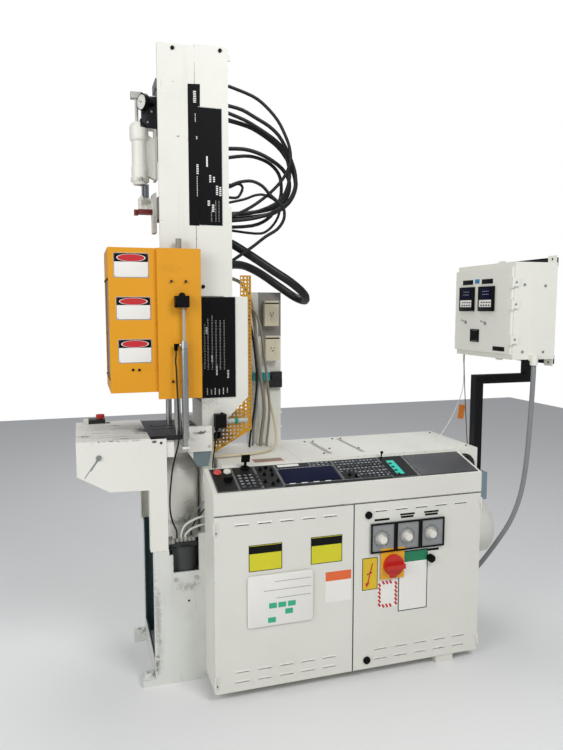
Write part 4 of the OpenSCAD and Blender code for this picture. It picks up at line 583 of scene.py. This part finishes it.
# Every cord: CAD node, diameter, finish, route.
hoses = {}
for name, (y, diameter, top, low, between) in loops.items():
    upper, lower = [(fitX, y, top), (fitX + lead, y, top)], [(fitX + lead, y, low), (fitX, y, low)]
    hoses[name] = ("loop_hoses", diameter, "hoseRubber", upper + [(x, y, z) for x, z in between] + lower)
hoses.update({
    "thickConduit": ("main_conduit", 38, "hoseRubber", [(218, 0, 1880), (240, 0, 1880), (270, -6, 1872),
        (312, -20, 1846), (380, -42, 1800), (450, -60, 1752), (530, -66, 1702), (600, -40, 1652), (630, 30, 1622),
        (600, 96, 1640), (530, 120, 1690), (440, 118, 1748), (360, 90, 1780), (300, 46, 1784), (262, 8, 1778),
        (240, 0, 1776), (218, 0, 1776)]),
    "thickRiser": ("riser_hoses", 16, "tanHose", [(fitX, 70, 1726), (252, 70, 1726), (290, 72, 1722), (340, 76, 1696),
        (376, 80, 1630), (396, 82, 1540), (410, 84, 1400), (430, 84, 1250), (446, 88, 1110), (436, 96, 1000),
        (430, 96, 945), (430, 96, deckZ)]),
    "farRiser": ("riser_hoses", 12, "greyHose", [(330.3, 112, 1600), (342, 112, 1600), (362, 112, 1584),
        (376, 110, 1550), (390, 106, 1480), (408, 102, 1360), (418, 102, 1250), (412, 106, 1120), (400, 110, 1020),
        (396, 112, 945), (396, 112, deckZ)]),
    "rightRiser": ("riser_hoses", 12, "tanHose", [(330.3, 62, 1600), (342, 62, 1600), (370, 60, 1592), (400, 58, 1560),
        (424, 60, 1480), (442, 68, 1360), (458, 76, 1250), (470, 80, 1120), (466, 86, 1020), (458, 90, 945),
        (458, 90, deckZ)]),
    "nearRiser": ("riser_hoses", 10, "hoseRubber", [(330.3, 86, 1584), (340, 86, 1584), (354, 82, 1570),
        (366, 76, 1540), (382, 66, 1480), (396, 64, 1360), (404, 64, 1250), (394, 70, 1120), (380, 78, 1020),
        (372, 86, 945), (372, 86, deckZ)]),
    "deckHose": ("riser_hoses", 11, "creamHose", [(470, 132, 1239.7), (470, 132, 1222), (475, 118, 1170),
        (482, 96, 1120), (490, 54, 1030), (482, 10, 966), (450, -32, 940), (400, -68, 936), (340, -92, 936),
        (270, -104, 937), (176, -112, 938), (168.3, -112, 938)]),
    "airHose": ("clamp_hoses", 7, "hoseRubber", [(-13, -218, 1413.7), (-13, -218, 1398), (-16, -220, 1370),
        (-14, -222, 1340), (-12, -226, 1260), (-10, -230, 1180), (-8, -232, 1100), (-10, -230, 1040), (-22, -220, 980),
        (-34, -206, 920), (-40, -196, 860), (-44, -186, 800), (-44, -182, 740), (-36, -190, 690), (-22, -200, 655),
        (-20, -202, 636), (-20, -202, valveZ)]),
    "valveHoseLong": ("clamp_hoses", 10, "whiteHose", [(-2, -202, valveZ), (-2, -202, 634), (10, -206, 668),
        (40, -212, 692), (90, -214, 708), (155, -214, 710), (baseX, -214, 710)]),
    "valveHoseShort": ("clamp_hoses", 10, "whiteHose", [(16, -202, valveZ), (16, -202, 632), (38, -206, 654),
        (66, -210, 666), (108, -212, 674), (155, -212, 674), (baseX, -212, 674)]),
    "valveLineThin": ("clamp_hoses", 5, "greyHose", [(22, -178, valveZ), (22, -178, 636), (44, -180, 690),
        (80, -182, 740), (125, -184, 782), (156, -184, 800), (baseX, -184, 800)]),
    "valveLineBlack": ("clamp_hoses", 7, "hoseRubber", [(44, -178, valveZ), (44, -178, 636), (60, -180, 676),
        (90, -182, 715), (130, -184, 754), (156, -184, 765), (baseX, -184, 765)]),
    "boxConduit": ("box_conduit", 22, "greyHose", [(1550, -443, 1332.7), (1550, -443, 1300), (1549, -440, 1180),
        (1548, -434, 1050), (1548, -424, 920), (1544, -410, 790), (1534, -392, 690), (1512, -366, 590),
        (1482, -330, 500), (1450, -280, 400), (1422, -238, 326), (1390, -204, 298), (1340, -174, 292),
        (1290, -168, 292), (1260.3, -168, 292)]),
    "whiteWire": ("box_wires", 4, "whiteHose", [(1462, -20, 1356.7), (1462, -20, 1330), (1464, -24, 1260),
        (1456, -30, 1180), (1420, -40, 1100), (1370, -60, 1030), (1320, -80, 980), (1290, -96, 956), (1284, -100, 940),
        (1284, -100, deckZ)]),
    "blackWire": ("box_wires", 4, "hoseRubber", [(1480, 0, 1356.7), (1480, 0, 1310), (1480, -10, 1200),
        (1478, -30, 1060), (1470, -60, 930), (1450, -100, 850), (1436, -126, 818), (1424, -134, 812),
        (1410.3, -134, 812)]),
    "switchWire": ("box_wires", 6, "hoseRubber", [(166, -147, 1059.7), (166, -147, 1044), (158, -151, 996),
        (148, -154, 940), (146, -154, 896), (150, -152, 872), (158, -150, 862), (baseX, -150, 862)]),
})
for name, (node, diameter, paint, points) in hoses.items():
    makeCord(name, points, diameter, paint, node)
print("cords ready", len(hoses))


# Safety gate: plates, rivets, window pane

gate = {"plates": [((-251, 1708), (-112, 1807)), ((-245, 1539), (-107, 1632)), ((-240, 1364), (-106, 1461))],
    "band": 0.36, "rivetInset": 6, "ovalShare": (0.41, 0.42), "ovalThick": 0.4,
    "rims": {"gateOvalRims": (1.0, -180.15, "plateWhite"), "gateOvals": (0.93, -180.4, "plateRed")},
    "pane": ((-269.6, -150, 1288), (-265.6, 150, 1712)),
    "boltX": -272.1, "boltY": (-144, -72, 0, 72, 144), "boltZ": (1296, 1704)}

flatPiece("gatePlates", gate["plates"], -179.6, -178.2, "plateWhite", "gate", 0.5, True)
bands = []
for outline in gate["plates"]:
    (x0, top), (x1, z1) = topBand(outline, gate["band"])
    bands += [((x0 + 3, top), (x1 - 3, z1 - 3)), *border(inset(outline, 1), 1.4)]
flatPiece("gatePlateBands", bands, -180.0, -179.5, "plateBlack", "gate")
for name, (share, y, paint) in gate["rims"].items():
    bm = bmesh.new()
    for (x0, z0), (x1, z1) in gate["plates"]:
        high = (z1 - z0) * gate["band"]
        halfX, halfZ = (x1 - x0) * gate["ovalShare"][0] * share, high * gate["ovalShare"][1] * share
        size = Matrix.Diagonal((halfX * mm, gate["ovalThick"] * mm, halfZ * mm, 1))
        matrix = at(((x0 + x1) / 2, y, z1 - 2 - high / 2)) @ size @ turned(90, "X")
        bmesh.ops.create_cone(bm, cap_ends=True, segments=48, radius1=1, radius2=1, depth=1, matrix=matrix)
    newPiece(name, bm, paint, "gate")
rivets = []
for outline in gate["plates"]:
    (x0, z0), (x1, z1) = inset(outline, gate["rivetInset"])
    rivets += [(x, -179.4, z) for x in (x0, x1) for z in (z0, z1)]
rodPiece("gateRivets", rivets, toCamera, 2.2, 1.6, 12, 1.4, "brightSteel", "gate")
blockPiece("gatePane", [gate["pane"]], "smoked", "gate", 0.8, True)
paneBolts = [(gate["boltX"], y, z) for z in gate["boltZ"] for y in gate["boltY"]]
rodPiece("gatePaneBolts", paneBolts, (-1, 0, 0), 5, 3, 16, 3.8, "blackPlastic", "gate")
screwPiece("gateScrews", [(-183, -178.2, 1336), (-158, -178.2, 1335)], 5.5, 4, "blackPlastic", "gate")
screwPiece("gateStuds", [(x, -199.1, z) for x in (-25, 34) for z in (1285, 1695)], 5.8, 6, "darkSteel", "gate")
screwPiece("coverScrews", [(4, -130.1, 2630), (199, -131.1, 2640), (118, -131.1, 1677)], 8, 5, "blackPlastic")
screwPiece("tableScrews", [(-83, -240.1, 1040)], 5, 3, "blackPlastic")
screwPiece("valveBolts", [(-32, -240.1, 454), (54, -240.1, 454)], 9, 6, "brightSteel")
print("gate dressed")


# Scales on the column and the tower

# ruled columns: y, pitch, length of a mark, rows (x, from z, to z)
ruled = [
    (-131.2, 6.5, 5.5, [(122, 1330, 1530), (136, 1325, 1550), (154, 1325, 1560), (171, 1325, 1545), (189, 1325, 1540),
        (206, 1325, 1540)]),
    (-126.95, 6, 4.5, [(176, 1950, 2040), (190, 1950, 2040), (158, 1950, 2000)]),
]
# printed patches: y, how proud, pitch, height of a mark, rows (x, z, wide, high)
printed = [
    (-131.2, 0.25, 6, 3.4, [(127, 1478, 7, 26), (149, 1356, 7, 26), (170, 1300, 7, 40), (219, 1286, 7, 34),
        (129, 1216, 4, 26), (147, 1216, 4, 22), (163, 1216, 4, 26), (181, 1216, 4, 22), (199, 1216, 4, 26),
        (217, 1222, 3, 22)]),
    (-130.2, 0.25, 7, 4, [(86, 2425, 12, 46), (92, 2350, 3, 30), (96, 2280, 5, 14), (96, 2140, 9, 40),
        (97, 2050, 3, 80)]),
    (-126.95, 0.3, 8, 5, [(150, 2110, 8, 26), (166, 2112, 8, 22), (178, 2060, 9, 36), (192, 2056, 9, 40),
        (142, 2014, 10, 24), (160, 1990, 10, 30)]),
]
scale = {"markTall": 1, "markProud": 0.25, "ribs": range(116, 238, 9), "window": [
    ((105, 2408.6), (205.9, 2410.8)), ((203.8, 1931.4), (205.9, 2410.8)), ((105, 1931.2), (205.9, 1932.6))]}
marks = []
for y, pitch, long, rows in ruled:
    for x, z0, z1 in rows:
        for low in (z0 + i * pitch for i in range(int((z1 - z0) / pitch))):
            mark = (x - long / 2, low), (x + long / 2, low + scale["markTall"])
            marks.append(upright(mark, y, y + scale["markProud"]))
for y, proud, pitch, tall, rows in printed:
    for x, z, wide, high in rows:
        marks += [upright(((x, low), (x + wide, low + tall)), y, y + proud) for low in range(z, z + high, pitch)]
blockPiece("scaleMarks", marks, "plateWhite")
ribs = [((x + 6.2, -131.7, 1206), (x + 7.2, -130.9, 1628)) for x in scale["ribs"]]
blockPiece("scaleRibs", ribs, "gloss", bevel=0.2, smooth=True)
flatPiece("windowFrame", scale["window"], -131.2, -127, "filmLine", bevel=0.3, smooth=True)


# Table bolt with its scratches, outlets, gauge, deck details

scratch = {"from": (-334, -240.15, 988), "to": (-384, -240.15, 916), "wide": 3.6, "thick": 0.2,
    "lines": ((0, 1.0), (4, 0.6))}
bm = bmesh.new()
a, b = Vector(scratch["from"]), Vector(scratch["to"])
run = (b - a).normalized()
side = run.cross(Vector((0, 1, 0)))
for off, share in scratch["lines"]:
    matrix = at(a + (b - a) * share / 2 + side * off) @ Matrix.Rotation(atan2(run.x, run.z), 4, "Y")
    addTurned(bm, (scratch["wide"], scratch["thick"], (b - a).length * share), matrix)
newPiece("tableScratches", bm, "greyHose")
screwPiece("tableBolt", [(-329, -240.1, 994)], 11, 7, "castGrey")

outlets = {"centres": ((491, 0, 1562), (495, 0, 1396)), "y": (108.7, 109.1),
    "slots": (((-9, -4), (-6, 6)), ((6, -4), (9, 6)), ((-2.5, -15), (2.5, -10)))}
slots = [moved(upright(c, *outlets["y"]), centre) for centre in outlets["centres"] for c in outlets["slots"]]
blockPiece("outletSlots", slots, "plateBlack")

# the gauge faces -X before its turn
gauge = {"centre": (-101, -39, 2433), "turn": 28, "case": 33, "face": 29, "pointer": -60,
    "ticks": 11, "tickRadius": 24, "sweep": 27}
gaugeTurn = at(gauge["centre"]) @ turned(gauge["turn"], "Z")
bm = bmesh.new()
addRod(bm, (4, 0, 0), (-1, 0, 0), gauge["case"], 20, 48)
addRod(bm, (38, 0, 0), (-1, 0, 0), 10, 36, 24)
newPiece("gaugeCase", bm, "blackPlastic", "injector", True, gaugeTurn)
bm = bmesh.new()
addRod(bm, (-16.1, 0, 0), (-1, 0, 0), gauge["face"], 0.9, 48)
newPiece("gaugeFace", bm, "plateWhite", "injector", True, gaugeTurn)
bm = bmesh.new()
for i in range(gauge["ticks"]):
    spread = gauge["sweep"] * (i - (gauge["ticks"] - 1) / 2)
    addTurned(bm, (0.2, 1, 5), turned(spread, "X") @ at((-17.1, 0, gauge["tickRadius"])))
addTurned(bm, (0.3, 1.4, 24), turned(gauge["pointer"], "X") @ at((-17.5, 0, 8)))
addRod(bm, (-17.0, 0, 0), (-1, 0, 0), 3, 1, 16)
newPiece("gaugeMarks", bm, "plateBlack", "injector", False, gaugeTurn)
knobs = [(-104, -23.1, 2404), (-72, -23.1, 2404), (-88, -23.1, 2360)]
screwPiece("receiverKnobs", knobs, 5, 4, "brightSteel", "injector")

blockPiece("deckPlacard", [((316, -228, 927.1), (446, -172, 927.9))], "plateRed", bevel=0.2)
fields = [((319, -225, 927.95), (443, -188, 928.1)), ((319, -185, 927.95), (443, -175, 928.1))]
blockPiece("deckPlacardFields", fields, "tanHose")
deckSpots = [(662, 120), (706, 120), (662, -150), (724, -60), (822, 150), (866, 150), (860, -90), (1380, 150),
    (1380, -190)]
screwPiece("deckScrews", [(x, y, 927.1) for x, y in deckSpots], 5, 3, "blackPlastic", axis=(0, 0, 1))
tag = {"knot": (1446, -41, 1092), "centre": (1447, -38, 1066), "size": (36, 1, 72), "turn": 8}
bm = bmesh.new()
addRod(bm, tag["knot"], (0, 1, 0), 3, 2, 16)
addTurned(bm, tag["size"], at(tag["centre"]) @ turned(tag["turn"], "Y"), 0.4)
newPiece("orangeTag", bm, "orangeTag", smooth=True)
print("tower and deck dressed")


# Cabinet doors: bare plates with colour fields, board, timer faces

doorFront = -437
hazard = [((232, 532), (372, 642)), ((496, 532), (635, 648))]
board = ((225, 300), (503, 515))
label = ((562, 359), (677, 491))
bolt = ((728, 389), (800, 531))
striped = ((802, 300), (896, 420))
sheet = ((899, 273), (1040, 542))
namePlates = [((782, 688), (852, 697)), ((902, 702), (972, 710)), ((906, 690), (966, 699)), ((1018, 702), (1088, 710)),
    ((1022, 690), (1084, 699)), ((1008, 546), (1072, 556)), ((1030, 530), (1094, 540))]
# what lies on the doors, by layer: how far off the door, thickness, bevel
layers = {"plate": (0.2, 0.6, 0.2), "sticker": (0.2, 0.3, 0), "name": (0.2, 0.8, 0.3), "band": (0.52, 0.2, 0),
    "hazard": (0.75, 0.3, 0), "field": (0.82, 0.2, 0)}


# A piece of flat plates on a door, each an outline with its layer.
def doorPiece(name, plates, paint, body):
    bm = bmesh.new()
    for outline, layer in plates:
        lift, thick, bevel = layers[layer]
        addBlock(bm, *upright(outline, doorFront - lift - thick, doorFront - lift), bevel)
    newPiece(name, bm, paint, body)


doorPiece("leftHazardPlates", [(c, "plate") for c in hazard], "plateBlack", "left_door")
fields = []
for (x0, z0), (x1, z1) in hazard:
    fields += [((x0 + 3, z0 + 3), (x1 - 3, z1 - (z1 - z0) * 0.33)), ((x0 + 3, z1 - 4.5), (x1 - 3, z1 - 2.5))]
doorPiece("leftHazardFields", [(c, "hazard") for c in fields], "plateYellow", "left_door")

boardLook = {"front": doorFront - 9, "back": doorFront - 5, "corner": 12, "edge": 0.6, "magnetSpots": (0.1, 0.9),
    "lines": ((0.41, 0.97, 0.145), (0.24, 0.97, 0.31), (0.43, 0.97, 0.47)), "lineTall": 1.2,
    "marks": ((0.379, 0.61), (0.522, 0.61), (0.669, 0.61), (0.627, 0.755), (0.363, 0.89)),
    "markHalf": 0.06, "markTall": 22}
bm = bmesh.new()
addBlock(bm, *upright(board, boardLook["front"], boardLook["back"]))
for width, segments, through in ((boardLook["corner"], 5, True), (boardLook["edge"], 2, False)):
    edges = [e for e in bm.edges if (abs(e.verts[0].co.y - e.verts[1].co.y) > 1e-5) == through]
    soften(bm, edges, width, segments)
newPiece("formBoard", bm, "plateWhite", "left_door", True)


# A spot on the board from its shares across and down.
def onBoard(across, down):
    (x0, z0), (x1, z1) = board
    return x0 + (x1 - x0) * across, z1 - (z1 - z0) * down


# Thin strips on the board: share across from and to, share down.
def boardStrips(name, strips, tall, paint):
    outlines = []
    for start, stop, down in strips:
        (x0, z), (x1, _) = onBoard(start, down), onBoard(stop, down)
        outlines.append(((x0, z - tall / 2), (x1, z + tall / 2)))
    flatPiece(name, outlines, boardLook["front"] - 0.4, boardLook["front"], paint, "left_door")


near, far = boardLook["magnetSpots"]
magnets = [onBoard(across, down) for down in (far, near) for across in (near, far)]
spots = [(x, boardLook["back"] - 0.2, z) for x, z in magnets]
rodPiece("boardMagnets", spots, (0, 1, 0), 9, 4.9, 20, None, "blackPlastic", "left_door")
boardStrips("boardLines", boardLook["lines"], boardLook["lineTall"], "plateBlack")
half = boardLook["markHalf"]
marks = [(across - half, across + half, down) for across, down in boardLook["marks"]]
boardStrips("boardMarks", marks, boardLook["markTall"], "greenMark")
doorPiece("leftLabel", [(label, "sticker")], "plateWhite", "left_door")
doorPiece("leftLabelBand", [(topBand(label, 0.3), "band")], "plateOrange", "left_door")

backs = [(bolt, "plate"), (sheet, "plate")] + [(c, "name") for c in namePlates]
doorPiece("rightPlates", backs, "plateBlack", "right_door")
doorPiece("boltField", [(inset(bolt, 3), "field")], "plateGold", "right_door")
# three bars (x, z, wide, high, turn) and the arrow head
boltBars = ((770, 484, 6, 44, 14), (762, 462, 26, 7, -18), (758, 436, 6, 44, 14))
boltTip = ((742, doorFront - 1.2, 420), (764, doorFront - 1.2, 424), (749, doorFront - 1.2, 400))
bm = bmesh.new()
for x, z, wide, high, turn in boltBars:
    addTurned(bm, (wide, 0.2, high), at((x, doorFront - 1.15, z)) @ turned(turn, "Y"))
tip = [bm.verts.new(Vector(p) * mm) for p in boltTip]
tip += [bm.verts.new(v.co + Vector((0, 0.2 * mm, 0))) for v in tip]
bm.faces.new(tip[:3])
bm.faces.new(tip[5:2:-1])
for i in range(3):
    bm.faces.new((tip[i], tip[(i + 1) % 3], tip[(i + 1) % 3 + 3], tip[i + 3]))
newPiece("boltShape", bm, "plateRed", "right_door")
sheetLook = {"edge": 4, "band": 50}
(x0, z0), (x1, z1) = inset(sheet, sheetLook["edge"])
split = z1 + sheetLook["edge"] - sheetLook["band"]
doorPiece("sheetField", [(((x0, z0), (x1, split)), "field"), (striped, "sticker")], "plateWhite", "right_door")
doorPiece("sheetBand", [(((x0, split), (x1, z1)), "field")], "plateGreen", "right_door")

# slanted stripes around the edge of the striped plate
stripes = {"size": (9, 0.2, 18), "slant": -32, "edge": 8, "upright": (14, 8, 18), "level": (26, 20, 17)}
bm = bmesh.new()
(x0, z0), (x1, z1) = striped
start, stop, step = stripes["upright"]
spots = [(x, z) for x in (x0 + stripes["edge"], x1 - stripes["edge"]) for z in range(z0 + start, z1 - stop, step)]
start, stop, step = stripes["level"]
spots += [(x, z) for z in (z0 + stripes["edge"], z1 - stripes["edge"]) for x in range(x0 + start, x1 - stop, step)]
for x, z in spots:
    addTurned(bm, stripes["size"], at((x, doorFront - 0.6, z)) @ turned(stripes["slant"], "Y"))
newPiece("stripes", bm, "plateRed", "right_door")

timers = {"frames": [((x - 4, 551), (x + 112, 681)) for x in (765, 883, 1001)], "frameWide": 8,
    "knobs": [(812, 612), (932, 613), (1048, 614)], "ticks": 21, "sweep": 280, "tickRadius": 32,
    "tickLong": (7, 4, 4, 4, 4), "tickWide": 2.2, "ringRadius": 24.5, "ringShare": 0.93}
strips = [c for outline in timers["frames"] for c in border(outline, timers["frameWide"], True)]
flatPiece("timerBezels", strips, -450.4, -448.2, "blackPlastic", "right_door", 0.8, True)
bm = bmesh.new()
for x, z in timers["knobs"]:
    for i in range(timers["ticks"]):
        turn = timers["sweep"] * (i / (timers["ticks"] - 1) - 0.5)
        long = timers["tickLong"][i % 5]
        matrix = at((x, -445.8, z)) @ turned(turn, "Y") @ at((0, 0, timers["tickRadius"] + long / 2))
        addTurned(bm, (timers["tickWide"], 0.6, long), matrix)
newPiece("timerTicks", bm, "plateBlack", "right_door")
bm = bmesh.new()
for x, z in timers["knobs"]:
    outer = bmesh.ops.create_circle(bm, cap_ends=False, segments=40, radius=timers["ringRadius"] * mm)["verts"]
    ring = bmesh.ops.extrude_edge_only(bm, edges=list({e for v in outer for e in v.link_edges}))["geom"]
    inner = [g for g in ring if isinstance(g, bmesh.types.BMVert)]
    bmesh.ops.scale(bm, vec=(timers["ringShare"], timers["ringShare"], 1), verts=inner)
    bmesh.ops.transform(bm, matrix=at((x, -445.5, z)) @ turned(90, "X"), verts=outer + inner)
bmesh.ops.solidify(bm, geom=list(bm.faces), thickness=0.3 * mm)
newPiece("timerRings", bm, "ivoryPlastic", "right_door")

# painted shadow strips for the gaps at the doors' edges, tabs at the left edge
gapShadows = {"leftDoorGapShadows": ("left_door", [((685.5, 37), (688.9, 771.8)), ((92.6, 769), (688.9, 771.8))]),
    "rightDoorGapShadows": ("right_door", [((691.1, 769), (1301.4, 771.8))])}
tabs = {"x": (93, 108), "z": (706, 72), "half": 9}
for name, (body, outlines) in gapShadows.items():
    flatPiece(name, outlines, doorFront - 0.3, doorFront - 0.05, "plateBlack", body)
outlines = [((tabs["x"][0], z - tabs["half"]), (tabs["x"][1], z + tabs["half"])) for z in tabs["z"]]
flatPiece("doorTabs", outlines, doorFront - 1.8, doorFront - 0.1, "cabinetPaint", "left_door", 0.5, True)
screwPiece("tabHoles", [(100, doorFront - 1.9, z) for z in tabs["z"]], 3, 1, "blackPlastic", "left_door")
print("cabinet dressed")


# Console: fields as (x0, d0, x1, d1), across and up the slope

console = {"origin": (0, -437, 862), "slope": 15.64, "line": 1.1,
    "boxes": [(112, 12, 200, 196), (204, 12, 296, 196), (300, 12, 388, 196), (392, 156, 548, 196), (392, 28, 652, 152),
        (552, 156, 652, 196), (656, 100, 872, 196), (656, 28, 728, 96), (732, 28, 872, 96), (876, 12, 996, 196)],
    "rotaries": [(322, 160), (350, 172), (368, 150), (330, 118), (362, 112), (318, 60), (372, 60), (346, 40), (690, 60),
        (715, 48)]}
consoleTurn = at(console["origin"]) @ turned(console["slope"], "X")


# Fields of one size in columns and rows.
def keyGrid(x, d, stepX, stepD, columns, rows, wide, high):
    spots = [(x + stepX * i, d + stepD * j) for i in range(columns) for j in range(rows)]
    return [(a, b, a + wide, b + high) for a, b in spots]


lines = [(*lo, *hi) for x0, d0, x1, d1 in console["boxes"] for lo, hi in border(((x0, d0), (x1, d1)), console["line"])]
lines += keyGrid(412, 152.5, 16, 0, 14, 1, 8, 2)
keyGroups = [
    keyGrid(216, 32, 24, 22, 3, 5, 15, 12), keyGrid(664, 108, 17, 21, 12, 4, 12, 11),
    keyGrid(740, 36, 19, 20, 7, 3, 13, 12), keyGrid(560, 162, 21, 17, 4, 2, 14, 10)]
keys = [key for group in keyGroups for key in group]
# four keys in five have a mark
marks = [(x0 + 1.5, d0 + (d1 - d0) * 0.3, x1 - 1.5, d0 + (d1 - d0) * 0.68)
    for n, group in enumerate(keyGroups) for i, (x0, d0, x1, d1) in enumerate(group) if (i * 7 + n) % 5]
# finish, then layers of fields with their low and high side and bevel
consoleParts = {
    "consoleLines": ("filmLine", [(lines, 2.0, 2.3, 0)]),
    "consoleDisplay": ("navyScreen", [([(400, 38, 640, 150)], 3.5, 4.2, 0.3)]),
    "consoleStrip": ("tealScreen", [([(905, 38, 941, 158)], 2.0, 2.8, 0.3)]),
    "consoleNameStrips": ("plateWhite", [([(404, 172, 500, 190)], 2.0, 2.6, 0.2),
        (keyGrid(414, 30, 52, 0, 4, 1, 26, 5), 2.0, 2.4, 0.1)]),
    "consoleKeys": ("filmKey", [(keys, 2.0, 3.0, 0.4)]),
    "consoleKeyMarks": ("filmLine", [(marks, 3.0, 3.15, 0)]),
    "consoleBrushed": ("brushedPanel", [([(1006, 12, 1288, 194)], 2.0, 2.6, 0.3)]),
}
for name, (paint, fieldLayers) in consoleParts.items():
    bm = bmesh.new()
    for fields, low, high, bevel in fieldLayers:
        for x0, d0, x1, d1 in fields:
            addBlock(bm, (x0, d0, low), (x1, d1, high), bevel)
    newPiece(name, bm, paint, smooth=True, matrix=consoleTurn)
bm = bmesh.new()
for x, d in console["rotaries"]:
    addRod(bm, (x, d, 2.1), (0, 0, 1), 8.5, 2.2, 24, 8)
    addRod(bm, (x, d, 4.2), (0, 0, 1), 6.0, 9, 20, 5.2)
    addBlock(bm, (x - 0.8, d, 13.1), (x + 0.8, d + 5, 13.8))
newPiece("consoleKnobs", bm, "blackPlastic", smooth=True, matrix=consoleTurn)
print("console dressed")


# Control box; a controller's parts are given from its front and its lower y

box = {"front": 1427, "plates": (1435.6, 1436.9), "controllers": (-142, -300), "toggles": ((-70, 1518), (-232, 1516)),
    "lips": ((1373.1, 1384), (1763, 1773.9))}
controllerParts = {
    "controllerBezels": ("gloss", 1.0, [((-2.4, 3, 1577), (-0.2, 117, 1589))]),
    "controllerKeypads": ("plateWhite", 0.3, [((-3.4, 11, 1592), (-2.1, 105, 1625))]),
    "controllerKeys": ("navyScreen", 0.2, [
        ((-4.0, 20 + 20 * i - 4 * j, 1597 + 14 * j), (-3.3, 32 + 20 * i - 4 * j, 1603 + 14 * j))
        for i in range(4) for j in range(2)]),
    "controllerDigits": ("navyScreen", 0.2, [((-1.2, 20, 1632), (-0.2, 98, 1680))]),
    "controllerLines": ("filmLine", 0.0, [
        ((-1.5, 34 + 13 * i, z), (-1.2, 42 + 13 * i, z + 2)) for i in range(4) for z in (1650, 1664)]),
}
for name, (paint, bevel, parts) in controllerParts.items():
    boxes = [moved(corners, (box["front"], y, 0)) for y in box["controllers"] for corners in parts]
    blockPiece(name, boxes, paint, "box_door", bevel, True)
near, far = box["plates"]
boxes = [((near, y + 18, 1700), (far, y + 104, 1722)) for y in box["controllers"]]
boxes.append(((near, -382, 1392), (far, -296, 1412)))
blockPiece("boxNamePlates", boxes, "plateBlack", "box_door", 0.3, True)
blockPiece("boxBluePlate", [((1435.8, -176, 1704), (far, -140, 1724))], "blueLabel", "box_door", 0.3, True)
rodPiece("toggleNuts", [(far, y, z) for y, z in box["toggles"]], (-1, 0, 0), 9, 3, 6, 8, "castGrey", "box_door")
blockPiece("boxLips", [((1449.3, -408.9, low), (1451, 4.9, high)) for low, high in box["lips"]], "boxPaint")
boxScrews = [(1500, -425.1, 1690), (1610, -425.1, 1686), (1500, -425.1, 1392), (1610, -425.1, 1390)]
screwPiece("boxScrews", boxScrews, 6, 3, "castGrey")
screwPiece("clampScrews", [(1450, -434.2, z) for z in (1448, 1604, 1700)], 5, 3, "brightSteel", "box_door")
print("control box dressed")


# Floor

floorLook = {"half": 7.0, "colour": (0.80, 0.80, 0.79), "rough": 0.8}

bm = bmesh.new()
bmesh.ops.create_grid(bm, x_segments=1, y_segments=1, size=floorLook["half"])
floorData = bpy.data.meshes.new("floor")
bm.to_mesh(floorData)
bm.free()
floor = newObject("floor", floorData)
floorPaint = bpy.data.materials.new("floorPaint")
floorPaint.use_nodes = True
shader = floorPaint.node_tree.nodes["Principled BSDF"].inputs
shader["Base Color"].default_value = (*floorLook["colour"], 1)
shader["Roughness"].default_value = floorLook["rough"]
floorData.materials.append(floorPaint)
